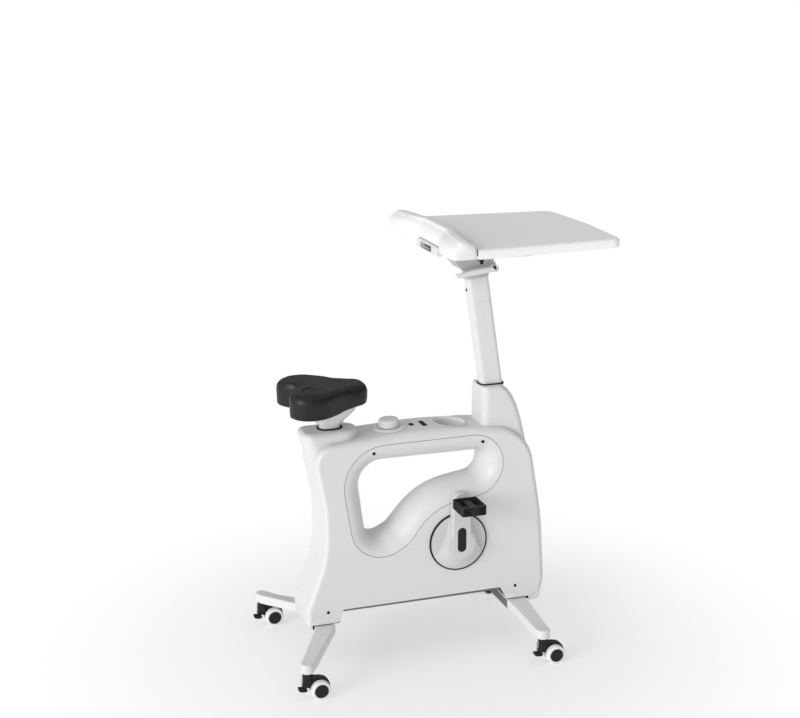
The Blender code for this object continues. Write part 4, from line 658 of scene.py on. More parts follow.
def lippedBore(x, z, radius, lip, deep=0.012):
    profile = [(0.0, -2 * past), (radius + lip, -2 * past)]
    profile += [(radius + wider, depth) for wider, depth in lipSteps(lip)]
    profile += [(radius, deep), (0.0, deep)]
    return lathed(profile, 96 if radius > 0.02 else 32, "y", (x, -half, z))


def deckAt(x):
    # the deck's height and slope at x
    points = [p for p, n, roll in rounded(body["outline"]) if p.y > 0.55]
    points.sort(key=lambda p: p.x)
    for before, after in zip(points, points[1:]):
        if before.x <= x <= after.x:
            rise = after.y - before.y
            return before.y + rise * (x - before.x) / (after.x - before.x), atan2(rise, after.x - before.x)
    return points[-1].y, 0.0


def onDeck(bm, x):
    height, slope = deckAt(x)
    bm.transform(Matrix.Translation((x, 0, height)) @ Matrix.Rotation(-slope, 4, "Y"))
    return bm


def leaned(bm):
    foot = mast["foot"]
    bm.transform(Matrix.Translation((foot[0], 0, foot[1])) @ Matrix.Rotation(-radians(mast["lean"]), 4, "Y"))
    return bm


def postOutline(grow=0.0):
    return rounded(centredBox((post["x"], 0), post["size"], post["size"][1] / 2 - 0.0005), grow=grow)


def columnOutline(grow=0.0):
    return rounded(centredBox((0, 0), mast["size"], mast["round"]), grow=grow)


def deckBore(radius, x, steps):
    return onDeck(rod(radius, -2 * past, 2 * past, "z", (0, 0, 0), steps), x)


def deckSlot(size, gap, radius, x):
    outline = rounded(centredBox((0, 0), [side + gap for side in size], radius))
    return onDeck(slab(outline, -2 * past, 2 * past, "z"), x)


def flareRing(x, top, swell):
    # down the panel, out to the swelling and back under it
    low = body["footEdge"]
    inside = body["wall"] / 2 - half
    ring = [Vector((x, inside, top))]
    for step in range(9):
        t = step / 8
        ring.append(Vector((x, -half - swell * (3 * t * t - 2 * t ** 3), top + (low + 0.002 - top) * t)))
    for share, rise in ((0.75, 0.0006), (0.45, 0.0)):
        ring.append(Vector((x, -half - swell * share, low + rise)))
    ring.append(Vector((x, inside, low)))
    return ring


def footFlares():
    # a soft swelling along the lower edge of each foot's panel, smaller at its two ends
    swells = [body["flare"] * min(1.0, 1.6 * sin(pi * (k + 0.35) / 8.7)) for k in range(9)]
    return [lofted([flareRing(rear + (front - rear) * k / 8, top, swell) for k, swell in enumerate(swells)])
            for rear, front, top in body["flares"]]


def makeShells():
    shell = carved(bodyHalf(0.0, -body["gap"] / 2), *footFlares(), how="UNION")
    opening = lippedHole(body["seam"], body["seamGap"], body["seamLip"], body["openingArcs"])
    feet = [block((rear, -half - past, 0.06), (front, past, body["footEdge"])) for rear, front in body["feet"]]
    port = lippedBore(crank["x"], crank["z"], crank["disc"] + crank["portGap"], body["portLip"])
    screws = [lippedBore(x, z, body["screwRadius"], body["holeLip"]) for x, z in body["footScrews"]]
    holes = [deckBore(deck["knobHole"], deck["knobX"], 32),
             deckSlot(deck["buttonSize"], deck["buttonGap"], deck["buttonHoleRound"], deck["buttonX"]),
             deckSlot(deck["displaySize"], deck["displayGap"], deck["displayHoleRound"], deck["displayX"]),
             deckBore(deck["cupRadius"] + deck["cupWall"] + deck["cupGap"], deck["cupX"], 72)]
    shell = carved(shell, bodyHalf(-body["wall"], past, body["hollowLow"]), opening,
                   slab(rounded(body["arch"]), -half - past, past, "y"), together(*feet), port,
                   together(*screws), together(*holes), slab(postOutline(0.003), 0.58, 0.66, "z"),
                   leaned(slab(columnOutline(0.004), -0.18, 0.02, "z")))
    dressBoth(shell, "shell_moulding", "whiteMoulding", ["shell"], 28)


trim = {"wall": 0.0025, "lap": 0.0045, "lapSink": 0.0030, "lip": 0.0007, "start": 7, "steps": 12,
        "insideTurns": (90, 66, 45), "screwDeep": 0.018}


def trimPoint(seam, throat, turn, inset):
    across = throat - seam
    reach = across.length
    depth = half - body["gap"] / 2
    normal = Vector((sin(turn) / reach, -cos(turn) / depth)).normalized()
    s = reach * sin(turn) - inset * normal.x
    d = depth * (1 - cos(turn)) - inset * normal.y
    if turn > pi / 2 - 0.001:
        d = depth
    return placed(seam + across * (s / reach), d - half, "y")


def makeTrims():
    # each lining's section runs over its lip and the roll to the middle plane, and back inside to its lap
    pairs = list(zip(*([p for p, n, roll in rounded(body[edge], body["openingArcs"])]
                       for edge in ("seam", "throat"))))
    behind = body["wall"] + body["gap"]
    lip = trim["lip"]
    rings = [[placed(s, behind - half, "y") for s, t in pairs]]
    for k in range(4):
        turn = pi / 2 * k / 4
        rings.append([placed(s, lip - half, "y") + placed((t - s).normalized(), 0, "y") * lip * (1 - cos(turn))
                      + Vector((0, -lip * sin(turn), 0)) for s, t in pairs])
    start = radians(trim["start"])
    for step in range(trim["steps"]):
        turn = start + (pi / 2 - start) * (step + 1) / trim["steps"]
        rings.append([trimPoint(s, t, turn, 0.0) for s, t in pairs])
    for degrees in trim["insideTurns"]:
        rings.append([trimPoint(s, t, radians(degrees), trim["wall"]) for s, t in pairs])
    outer = [s - (t - s).normalized() * trim["lap"] for s, t in pairs]
    for depth in (behind + trim["lapSink"] + trim["wall"], behind + trim["lapSink"]):
        rings.append([placed(p, depth - half, "y") for p in outer])
    holes = [lippedBore(x, z, body["screwRadius"], body["holeLip"], trim["screwDeep"])
             for x, z in body["trimScrews"]]
    lining = carved(lofted(rings, endless=True), together(*holes))
    dressBoth(lining, "trim_moulding", "whiteMoulding", ["trim"], 40)


def makeScrews():
    # a black socket screw sits a little below the surface in each hole of the shells and trims
    radius = body["screwRadius"] - 0.0001
    socket = 0.0021
    heads = []
    for places, sunk in ((body["footScrews"], 0.0003), (body["trimScrews"], 0.0014)):
        profile = [(0.0, sunk + 0.004), (radius, sunk + 0.004), (radius, sunk), (radius * 0.82, sunk - 0.0008),
                   (socket, sunk - 0.0009), (socket, sunk + 0.0016), (0.0, sunk + 0.0016)]
        heads += [lathed(eased(profile, 0.0004), 24, "y", (x, -half, z)) for x, z in places]
    dressBoth(together(*heads), "screw_heads", "blackNylon")


def makePortRings():
    # the black collar that stands round each crank's disc
    inner = crank["disc"] + 0.0006
    outer = crank["disc"] + crank["portGap"] - 0.0003
    front, back = -0.0050, 0.0080
    profile = [(inner, front), (outer - 0.0004, front), (outer, front + 0.0004), (outer, back), (inner, back)]
    ring = lathed(profile, 96, "y", (crank["x"], -half, crank["z"]), ring=True)
    dressBoth(ring, "port_ring", "blackRubber")


# dark pieces painted as shade: in the gap round the trim, under the shell's lower edge and under its feet
shadeStrips = {"gapShadeDepth": (0.0004, 0.0026), "gapShadeGrow": 0.00005, "stripDepth": (0.0032, 0.0062),
         "stripRoll": 0.0008, "footShadeDepth": (0.0006, 0.0036),
         "strip": [(-0.2120, 0.1482, 0.0020), (0.2385, 0.1490, 0.0020), (0.2425, 0.1600, 0.0010),
                   (-0.2165, 0.1600, 0.0010)],
         "footShades": [(-0.2982, -0.2932, 0.1090), (-0.2932, -0.2215, 0.1183), (0.2635, 0.3202, 0.1183),
                   (0.3202, 0.3288, 0.1120)]}


def makeShadeStrips():
    # a dark strip behind the gap between shell and trim: painted shade for the shadow in the gap
    outer, inner = (rounded(body["seam"], body["openingArcs"], grow=grow)
                    for grow in (body["seamGap"], shadeStrips["gapShadeGrow"]))
    front, back = (depth - half for depth in shadeStrips["gapShadeDepth"])
    dressBoth(tube(outer, inner, front, back, "y"), "trim_gap_painted_shade", "blackRubber")
    # a dark grey strip along the lower edge of the shell between its feet, and dark blocks under the feet:
    # painted shade for the shadowed gaps below the shell
    front, back = (depth - half for depth in shadeStrips["stripDepth"])
    strip = slab(rounded(shadeStrips["strip"], roll=shadeStrips["stripRoll"]), front, back, "y", 3)
    dressBoth(strip, "edge_painted_shade", "shadeGrey")
    front, back = (depth - half for depth in shadeStrips["footShadeDepth"])
    footShades = [block((rear, front, low), (ahead, back, body["footEdge"])) for rear, ahead, low in shadeStrips["footShades"]]
    dressBoth(together(*footShades), "feet_painted_shade", "blackRubber")


# Neck covers and gaskets

neck = {
    "half": 0.050, "saddle": [(0.5400, -0.2770, -0.1500), (0.6330, -0.3070, -0.1505)], "saddleRound": 0.0145,
    "saddleCorner": 0.030, "saddleHole": 0.0055,
    "mast": [(0.5600, 0.0088, 0.0630), (0.6050, 0.0088, 0.0530), (0.6580, 0.0088, 0.0380),
             (0.6810, 0.0088, 0.0290), (0.6990, 0.0088, 0.0195), (0.7180, 0.0086, 0.0065)],
    "mastRound": [(0.0011, 0.7225), (0.0028, 0.7262), (0.0056, 0.7288), (0.0090, 0.7295)],
    "mastRoundHeight": 0.0115, "mastRoundFall": 0.0145, "mastCorner": 0.020,
}


def neckRing(z, back, front, inset, backRound, frontRound):
    wide = neck["half"] - inset
    behind = max(backRound - inset, 0.001)
    ahead = min(frontRound, wide - 0.0002)
    corners = [(back, -wide, behind), (front, -wide, ahead), (front, wide, ahead), (back, wide, behind)]
    return [Vector((p.x, p.y, z)) for p, n, roll in rounded(corners, arcs=[10, 20, 20, 10])]


def between(rows, z):
    # the values of the rows at a height, on a smooth curve through them
    for k in range(len(rows) - 1):
        if rows[k][0] <= z <= rows[k + 1][0]:
            before = rows[max(k - 1, 0)]
            after = rows[min(k + 2, len(rows) - 1)]
            step = rows[k + 1][0] - rows[k][0]
            t = (z - rows[k][0]) / step
            values = []
            for j in range(1, len(rows[k])):
                low, high = rows[k][j], rows[k + 1][j]
                rise = (high - before[j]) / (rows[k + 1][0] - before[0]) * step
                fall = (after[j] - low) / (after[0] - rows[k][0]) * step
                values.append((2 * t ** 3 - 3 * t ** 2 + 1) * low + (t ** 3 - 2 * t ** 2 + t) * rise
                              + (3 * t ** 2 - 2 * t ** 3) * high + (t ** 3 - t ** 2) * fall)
            return values
    return rows[-1][1:]


def bodyBlank():
    return bodySlab(body["gap"], -half - body["gap"], half + body["gap"])


def makeSaddleNeck():
    edge, corner, wide = neck["saddleRound"], neck["saddleCorner"], neck["half"]
    rings = [neckRing(z, back, front, 0.0, corner, wide) for z, back, front in neck["saddle"]]
    z, back, front = neck["saddle"][-1]
    for k in range(1, 13):
        turn = pi / 2 * k / 12
        inset = edge * (1 - cos(turn))
        rings.append(neckRing(z + edge * sin(turn), back + inset, front - inset * 0.4, inset, corner, wide))
    cover = carved(lofted(rings), bodyBlank(), slab(postOutline(neck["saddleHole"]), 0.60, 0.67, "z"))
    dress(cover, "saddle_neck_moulding", "whiteMoulding", "bike_frame", ["saddle_neck_cover"], 30)


def makeMastNeck():
    rows, corner = neck["mast"], neck["mastCorner"]
    back = mast["foot"][0] - mast["size"][0] / 2
    front = mast["foot"][0] + mast["size"][0] / 2
    low, (high, behind, ahead) = rows[0][0], rows[-1]
    rings = []
    for k in range(25):
        z = low + (high - low) * k / 24
        rear, nose = between(rows, z)
        rings.append(neckRing(z, back - rear, front + nose, 0.0, corner, corner))
    for inset, z in neck["mastRound"]:
        share = (z - high) / neck["mastRoundHeight"]
        rings.append(neckRing(z, back - behind + inset * 0.45, front + ahead - neck["mastRoundFall"] * share,
                              inset, corner, corner))
    cover = carved(lofted(rings), bodyBlank(), slab(mastMouth(0.0003), 0.70, 0.78, "z"))
    dress(cover, "mast_neck_moulding", "whiteMoulding", "bike_frame", ["mast_neck_cover"], 30)


def mastMouth(grow):
    size = [side + 0.008 for side in mast["size"]]
    return rounded(centredBox((mast["foot"][0], 0), size, mast["round"] + 0.0038), arcs=[10] * 4, grow=grow)


gaskets = {"below": 0.002, "mastBelow": 0.003, "above": 0.0035, "round": 0.0012}


def makeGaskets():
    top = post["coverTop"]
    ring = tube(postOutline(0.0052), postOutline(0.0010), top - gaskets["below"], top + gaskets["above"])
    dress(ring, "seat_gasket_lip", "blackRubber", "bike_frame", ["seat_gasket"], bevel=gaskets["round"],
          segments=3)
    top = mast["coverTop"]
    centre = mast["foot"][0] - (top - mast["foot"][1]) * tan(radians(mast["lean"]))
    size = (mast["size"][0] + 0.0032, mast["size"][1] + 0.0012)
    inner = rounded(centredBox((centre, 0), size, mast["round"] + 0.0005), arcs=[10] * 4)
    ring = tube(mastMouth(0.0), inner, top - gaskets["mastBelow"], top + gaskets["above"])
    dress(ring, "mast_gasket_lip", "blackRubber", "bike_frame", ["mast_gasket"], bevel=gaskets["round"],
          segments=3)


# Legs and casters

legs = {
    "top": 0.118, "thickness": 0.026, "drop": 0.020, "round": 0.004, "tipRound": 0.96, "bore": 0.0053,
    "boreTop": 0.0907, "washer": 0.0105, "washerTop": 0.0722, "skin": 0.0008, "shadeSkinLength": 0.1430,
    "rear": {"root": (-0.265, 0.080), "rootWidth": 0.056, "tip": (-0.361, 0.240), "tipWidth": 0.034},
    "front": {"root": (0.2925, 0.076), "rootWidth": 0.055, "tip": (0.2986, 0.243), "tipWidth": 0.036},
}


def makeLeg(name, leg):
    # one beam with a leg at each end, which slopes down outside the body
    root = Vector(leg["root"])
    tip = Vector(leg["tip"])
    along = (tip - root).normalized()
    across = Vector((along.y, -along.x))
    wide = leg["tipWidth"] / 2
    end = tip + along * wide
    tipRound = wide * legs["tipRound"]
    near = [(root.x + leg["rootWidth"] / 2, root.y, legs["round"]), (*(end + across * wide), tipRound),
            (*(end - across * wide), tipRound), (root.x - leg["rootWidth"] / 2, root.y, legs["round"])]
    far = [(x, -y, radius) for x, y, radius in reversed(near)]
    beam = slab(rounded(near + far, roll=legs["round"]), legs["top"] - legs["thickness"], legs["top"], "z")
    level = tip.y - 0.020
    for y in [side * (root.y + (level - root.y) * k / 6) for side in (-1, 1) for k in range(7)]:
        bmesh.ops.bisect_plane(beam, geom=beam.verts[:] + beam.edges[:] + beam.faces[:],
                               plane_co=(0, y, 0), plane_no=(0, 1, 0))
    for vert in beam.verts:
        share = min(max((abs(vert.co.y) - root.y) / (level - root.y), 0.0), 1.0)
        vert.co.z -= legs["drop"] * share
    tips = [(tip.x, side * tip.y, 0) for side in (-1, 1)]
    beam = carved(beam, *[rod(legs["bore"], 0.05, legs["boreTop"], "z", place, 32) for place in tips])
    dress(beam, name + "_paint", "whitePaint", "bike_frame", [name], 34)
    low, high = legs["washerTop"] - 0.001, legs["washerTop"]
    washers = [rod(legs["washer"], low, high, "z", place, 40) for place in tips]
    dress(together(*washers), name + "_washers", "greyZinc", "bike_frame")


def makeBeamShade(leg):
    # a dark skin on the part of the front beam that runs under the body: painted shade for the body's shadow
    # on it
    centre = (Vector(leg["root"]).x, 0)
    skin = legs["skin"]
    low = legs["top"] - legs["thickness"]
    outline = rounded(centredBox(centre, (leg["rootWidth"] + 2 * skin, legs["shadeSkinLength"]), 0.0010))
    beam = rounded(centredBox(centre, (leg["rootWidth"] + 0.0002, 0.2000)))
    sleeve = carved(slab(outline, low - skin, legs["top"] - 0.0040, "z"),
                    slab(beam, low - 0.0001, legs["top"] + past, "z"))
    dress(sleeve, "front_leg_beam_painted_shade", "shadeGrey", "bike_frame")


caster = {"wheel": 0.0258, "wide": 0.018, "cap": 0.018, "bore": 0.0043, "hoodWide": 0.016, "hoodGap": 0.0022,
          "hoodRear": 0.014, "hoodLow": 0.0315, "trail": 0.031, "top": 0.0717, "barrel": 0.013, "stem": 0.005,
          "stemReach": 0.018, "axle": 0.004, "axleReach": 0.022, "brakeReach": 0.024, "brakeHalf": 0.009}


def makeHood(name, x, y):
    wheel = caster["wheel"]
    axleX = x + caster["trail"]
    radius = wheel + caster["hoodGap"]
    rear, low, wide = x - caster["hoodRear"], caster["hoodLow"], caster["hoodWide"] / 2
    corners = [(rear, low, 0.002), (x + 0.002, low, 0.004), (axleX - 0.008, 0.016, 0.004),
               (axleX + 0.008, 0.016, 0.004), (axleX + radius, 0.021, 0.003),
               (axleX + radius, wheel + radius, radius * 0.97), (rear, wheel + radius + 0.0125, 0.010)]
    hood = slab(rounded(corners, roll=0.0016), y - wide, y + wide, "y", 4)
    barrel = rod(caster["barrel"], 0.044, caster["top"], "z", (x, y, 0), 40, 0.0015)
    stem = rod(caster["stem"], caster["top"] - past, caster["top"] + caster["stemReach"], "z", (x, y, 0), 24)
    axle = rod(caster["axle"], y - caster["axleReach"], y + caster["axleReach"], "y", (axleX, 0, wheel), 24)
    groove = block((x - 0.0150, y - 0.0042, 0.0420), (x - 0.0128, y + 0.0042, 0.0640))
    hood = carved(carved(hood, barrel, stem, axle, how="UNION"), groove)
    dress(hood, name + "_hood_shell", "blackNylon", name + "_fork", [name + "_hood"])
    band = rounded(centredBox((y, 0.053), (0.0078, 0.0205), 0.002), roll=0.0006)
    dress(slab(band, x - 0.0141, x - 0.0129, "x", 2), name + "_hood_band", "greyNylon", name + "_fork")


def makeWheels(name, x, y):
    wheel, bore, cap = caster["wheel"], caster["bore"], caster["cap"]
    inner = caster["hoodWide"] / 2 + 0.0012
    outer = inner + caster["wide"]
    ring = [(bore, inner), (wheel - 0.001, inner), (wheel, inner + 0.001), (wheel, outer - 0.0040),
            (wheel - 0.0012, outer - 0.0016), (wheel - 0.0034, outer - 0.0006), (cap + 0.0012, outer - 0.0004),
            (cap + 0.0003, outer - 0.0016), (bore, outer - 0.0016)]
    disc = [(0.0, outer - 0.0013), (cap, outer - 0.0013), (cap, outer + 0.0002),
            (cap - 0.0012, outer + 0.0014), (cap - 0.0040, outer + 0.0012), (0.0070, outer + 0.0018),
            (0.0, outer + 0.0020)]
    for side, letter in ((-1, "a"), (1, "b")):
        turning = name + "_wheel_" + letter
        tread = lathed(eased(ring, 0.0006, 3), 72, "y", ring=True)
        hub = lathed(eased(disc, 0.0006, 3), 72, "y")
        for part in (tread, hub):
            if side < 0:
                leftHand(part)
            part.transform(Matrix.Translation((x + caster["trail"], y, wheel)))
        dress(tread, turning + "_tread", "wheelTread", turning + "_body", [turning])
        dress(hub, turning + "_cap", "blackNylon", turning + "_body")


def makeBrake(name, x, y):
    level = caster["wheel"] - 0.0006
    pivot = x - 0.0065
    end, wide = x - caster["brakeReach"], caster["brakeHalf"]
    tab = [(end, level - 0.0012, 0.001), (x - 0.014, level - 0.0040, 0.003),
           (pivot + 0.004, level - 0.0040, 0.002), (pivot + 0.004, level + 0.0036, 0.001),
           (pivot - 0.001, level + 0.0052, 0.002), (x - 0.016, level + 0.0052, 0.003),
           (end, level + 0.0062, 0.001)]
    tab = slab(rounded(tab, roll=0.0009), y - wide, y + wide, "y", 3)
    ridges = [block((x - 0.0230 + 0.0028 * k, y - 0.0075, level + 0.0048),
                    (x - 0.0218 + 0.0028 * k, y + 0.0075, level + 0.0070)) for k in range(3)]
    dress(carved(tab, together(*ridges)), name + "_brake_tab", "blackNylon", name + "_brake_body",
          [name + "_brake"])


def makeCaster(name, x, y):
    makeHood(name, x, y)
    makeWheels(name, x, y)
    makeBrake(name, x, y)


# Padded pieces

def stuffed(bm, pad):
    # a closed skin over foam, which swells under pressure, but no further than its cap
    thing = workObject("stuffing", bm)
    skin = thing.modifiers.new("skin", "REMESH")
    skin.mode = "VOXEL"
    skin.voxel_size = pad["voxel"]
    skin = finalShape(thing)
    before = [vert.co.copy() for vert in skin.verts]
    outward = [vert.normal.copy() for vert in skin.verts]
    low = min(place.z for place in before)
    thing = workObject("stuffing", skin)
    cloth = thing.modifiers.new("cloth", "CLOTH")
    cloth.settings.use_pressure = True
    cloth.settings.uniform_pressure_force = pad["pressure"]
    cloth.settings.effector_weights.gravity = 0.0
    for step in range(1, 21):
        bpy.context.scene.frame_set(step)
    swollen = finalShape(thing)
    bpy.context.scene.frame_set(1)
    for vert, place, normal in zip(swollen.verts, before, outward):
        moved = vert.co - place
        if moved.length > pad["cap"]:
            moved = moved.normalized() * pad["cap"]
        flat = min(1.0, max(0.0, (place.z - low) / 0.012)) if normal.z < 0.1 else 1.0
        vert.co = place + moved * flat
    swollen.normal_update()
    return swollen


def dressPad(pad, name, finish, body, node, shift=True):
    thing = dress(pad, name, finish, body, [node], sharp=75, shift=shift, weighted=False)
    finer = thing.modifiers.new("finer", "SUBSURF")
    finer.levels = 1
    finer.render_levels = 1
    return thing


saddle = {
    "top": 0.7755, "noseDrop": 0.0085, "rim": 0.7030, "rimRise": 0.008, "hollow": 0.7154, "half": 0.1165,
    "back": -0.3595, "front": -0.1190, "voxel": 0.0045, "pressure": 4.0, "cap": 0.0025,
    "middle": (-0.235, 0.0), "lobeFall": 0.0060, "channel": 0.0075, "channelHalf": 0.034,
    "dimpleX": -0.288, "dimpleY": 0.071,
    "dimple": 0.0256, "dimpleLip": 0.0016, "dimpleBowl": 0.0048, "dimpleEdge": 0.0020, "dimplePress": 0.0035,
    "plan": [(1.000, 0.000), (0.992, 0.160), (0.945, 0.300), (0.840, 0.410), (0.700, 0.560), (0.555, 0.765),
             (0.400, 0.950), (0.240, 1.000), (0.110, 0.880), (0.040, 0.600), (0.085, 0.330), (0.165, 0.120),
             (0.190, 0.000)],
}


def smoothLoop(points, perSpan):
    count = len(points)
    curve = []
    for k in range(count):
        p0, p1, p2, p3 = (points[(k + j - 1) % count] for j in range(4))
        for step in range(perSpan):
            t = step / perSpan
            curve.append(0.5 * (2 * p1 + (p2 - p0) * t + (2 * p0 - 5 * p1 + 4 * p2 - p3) * t * t
                                + (3 * p1 - p0 - 3 * p2 + p3) * t ** 3))
    return curve


def saddleTop(x, y):
    # each lobe falls towards its outer edge, and the channel between them runs out at the nose
    forward = (x - saddle["back"]) / (saddle["front"] - saddle["back"])
    ease = min(1.0, max(0.0, (forward - 0.20) / 0.65))
    height = saddle["top"] - saddle["noseDrop"] * ease * ease * (3 - 2 * ease)
    lobe = max(0.0, 1 - max(0.0, forward - 0.30) / 0.35)
    fall = saddle["lobeFall"] * lobe * min(1.0, abs(y) / saddle["half"]) ** 2.5
    channel = (saddle["channel"] * max(0.0, 1 - (y / saddle["channelHalf"]) ** 2) ** 2
               * max(0.0, 1 - max(0.0, forward - 0.10) / 0.45))
    return height - fall - channel


def saddleForm():
    # rings from the hollow underneath, round the rim and over the crown
    length = saddle["front"] - saddle["back"]
    near = [Vector((saddle["back"] + length * u, saddle["half"] * v)) for u, v in saddle["plan"]]
    edge = smoothLoop(near + [Vector((p.x, -p.y)) for p in reversed(near[1:-1])], 5)
    middle = Vector(saddle["middle"])

    def hollow(p):
        return saddle["hollow"]

    def rim(p):
        forward = (p.x - saddle["back"]) / length
        share = min(1.0, max(0.0, (forward - 0.35) / 0.6))
        return saddle["rim"] + saddle["rimRise"] * sin(pi / 2 * share) ** 2

    def crown(p):
        return saddleTop(p.x, p.y)

    def ring(share, height, lift=0.0):
        drawn = [middle + (p - middle) * share for p in edge]
        return [Vector((p.x, p.y, height(p) + lift)) for p in drawn]

    rings = [ring(0.30, hollow), ring(0.79, hollow), ring(0.88, rim)]
    for k in range(6):
        turn = pi / 2 * k / 5
        rings.append(ring(0.935 + 0.055 * sin(turn), rim, 0.010 * (1 - cos(turn))))
    for k in range(10):
        turn = pi / 2 * k / 9
        rings.append(ring(1.0 - 0.200 * (1 - cos(turn)) ** 1.15, crown, -0.026 * (1 - sin(turn))))
    rings += [ring(share, crown) for share in (0.62, 0.46, 0.28, 0.12)]
    return lofted(rings)


def pressDimples(material):
    # the pressed edge of each dimple of the skin, the same on both sides
    tree = material.node_tree
    place = addNode(tree, "ShaderNodeTexCoord")
    split = addNode(tree, "ShaderNodeSeparateXYZ", {"Vector": place.outputs["Object"]})
    flat = addNode(tree, "ShaderNodeCombineXYZ", {
        "X": split.outputs["X"], "Y": addMath(tree, "ABSOLUTE", split.outputs["Y"])})
    away = addNode(tree, "ShaderNodeVectorMath", {
        0: flat.outputs["Vector"], 1: (saddle["dimpleX"] - datumX, saddle["dimpleY"], 0.0)},
        operation="DISTANCE")
    wall = addNode(tree, "ShaderNodeMapRange", {
        "Value": away.outputs["Value"], "From Min": saddle["dimple"] - saddle["dimpleEdge"],
        "From Max": saddle["dimple"] + saddle["dimpleEdge"]}, interpolation_type="SMOOTHSTEP")
    press = addNode(tree, "ShaderNodeBump", {
        "Distance": saddle["dimplePress"], "Height": wall.outputs["Result"]})
    tree.links.new(press.outputs["Normal"], tree.nodes["Bump"].inputs["Normal"])


def makeSaddle():
    pad = stuffed(saddleForm(), saddle)
    for vert in pad.verts:
        if vert.normal.z < 0.2:
            continue
        for y in (saddle["dimpleY"], -saddle["dimpleY"]):
            centre = Vector((saddle["dimpleX"], y))
            away = (Vector((vert.co.x, vert.co.y)) - centre).length / saddle["dimple"]
            lip = saddle["dimpleLip"] * max(0.0, 1 - ((away - 1.10) / 0.16) ** 2)
            bowl = saddle["dimpleBowl"] * max(0.0, 1 - away ** 2) ** 0.6
            vert.co.z += (lip - bowl) * vert.normal.z
    bmesh.ops.recalc_face_normals(pad, faces=pad.faces)
    thing = dressPad(pad, "saddle_cover", "saddleSkin", "seat", "saddle")
    pressDimples(finishes["saddleSkin"])


armPad = {"voxel": 0.005, "pressure": 4.0, "cap": 0.0022}


def makeArmPad():
    pad = stuffed(meshOf("arm_pad"), armPad)
    thing = dressPad(pad, "arm_pad_cover", "padSkin", "desk", "arm_pad", shift=False)


# Desktop, its hardware and the column

desk = {"top": 1.152, "thickness": 0.0235, "half": 0.2675, "taper": 0.0765, "front": 0.5150, "cornerX": 0.503,
        "cornerRound": 0.034, "rearRound": 0.012, "bow": 0.9, "bowChord": 0.059, "topRound": 0.0090,
        "underRound": 0.0025, "step": 0.0945, "stepDepth": 0.012, "back": 0.062, "padLength": 0.520,
        "padFront": 0.1110, "padBow": 0.0190, "ledge": 0.008}


def deskHalf(x):
    return desk["half"] - desk["taper"] * x


def padFront(y):
    return desk["padFront"] - desk["padBow"] * (abs(y) / (desk["padLength"] / 2)) ** 2


def makeDesktop():
    bottom = desk["top"] - desk["thickness"]
    back, cornerX, bow = desk["back"], desk["cornerX"], desk["bow"]
    frontHalf = deskHalf(cornerX)
    turn = atan2(desk["front"] - cornerX, frontHalf - bow * desk["bowChord"] / 2)
    nose = desk["front"] + bow * (1 / cos(turn) - 1)
    points = rounded([
        (back, -deskHalf(back), desk["rearRound"]), (cornerX, -frontHalf, desk["cornerRound"]),
        (nose, 0.0, bow), (cornerX, frontHalf, desk["cornerRound"]),
        (back, deskHalf(back), desk["rearRound"])])
    rings = []
    for k in range(5):
        turn = pi / 2 * k / 4
        inset = desk["underRound"] * (1 - sin(turn))
        rings.append([placed(p - n * inset, bottom + desk["underRound"] * (1 - cos(turn)), "z")
                      for p, n, roll in points])
    for k in range(9):
        turn = pi / 2 * k / 8
        inset = desk["topRound"] * (1 - cos(turn))
        rings.append([placed(p - n * inset, desk["top"] - desk["topRound"] * (1 - sin(turn)), "z")
                      for p, n, roll in points])
    # the rear end is cut down to the ledge that the arm pad lies on, and narrowed at its sides
    far = desk["padLength"] / 2 + past
    edge = [Vector((padFront(y) + 0.0003, y)) for y in [-far + 2 * far * k / 60 for k in range(61)]]
    rear = -2 * past
    seat = lofted([[placed(p, z, "z") for p in edge] + [Vector((rear, far, z)), Vector((rear, -far, z))]
                   for z in (bottom + desk["ledge"], desk["top"] + 2 * past)])
    narrow = deskHalf(desk["step"]) - desk["stepDepth"]
    sides = [block((rear, low, bottom - 0.03), (desk["step"], high, 1.2))
             for low, high in ((-0.3, -narrow), (narrow, 0.3))]
    board = carved(lofted(rings), seat, together(*sides))
    dress(board, "desktop_board", "deskSkin", "desk", ["desktop"], 40)


hardware = {"socketAt": (0.1535, 1.0632), "socketRadius": 0.0040, "leverFace": -0.0630,
            "pocketAt": (0.1275, 1.0725), "pocket": (0.0090, 0.0100), "bracketFace": -0.0360, "deep": 0.0030}


def makeDeskDetails():
    # the clamp lever's screw head, and a dark patch on the side of the bracket: painted shade for its pocket
    x, z = hardware["socketAt"]
    face = hardware["leverFace"]
    head = rod(hardware["socketRadius"], face - 0.0007, face + hardware["deep"], "y", (x, 0, z), 32, 0.0003)
    dress(head, "clamp_lever_screw", "blackNylon", frame["nodes"]["clamp_lever"]["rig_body"], shift=False)
    face = hardware["bracketFace"]
    pocket = rounded(centredBox(hardware["pocketAt"], hardware["pocket"], 0.0010))
    pocket = slab(pocket, face - 0.0003, face + hardware["deep"], "y")
    dress(pocket, "bracket_pocket_painted_shade", "blackRubber", frame["nodes"]["desk_bracket"]["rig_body"], shift=False)


column = {"wall": 0.0025, "low": -0.400, "high": 0.3260, "line": (0.2343, 0.2354), "lineDeep": 0.0006,
          "screwAt": 0.272}


def makeColumn():
    # a fine line runs round the column near its top, and a black screw sits in its rear face
    shaft = leaned(tube(columnOutline(), columnOutline(-column["wall"]), column["low"], column["high"]))
    line = leaned(tube(columnOutline(0.002), columnOutline(-column["lineDeep"]), *column["line"]))
    dress(carved(shaft, line), "mast_column_paint", "whitePaint", "desk_column", ["mast_column"], 30)
    head = [(0.0, 0.0), (0.0040, 0.0), (0.0040, -0.0012), (0.0030, -0.0022), (0.0, -0.0024)]
    screw = lathed(head, 24, "x", (-mast["size"][0] / 2 + 0.0002, 0.0, column["screwAt"]))
    dress(leaned(screw), "column_screw", "blackNylon", "desk_column")


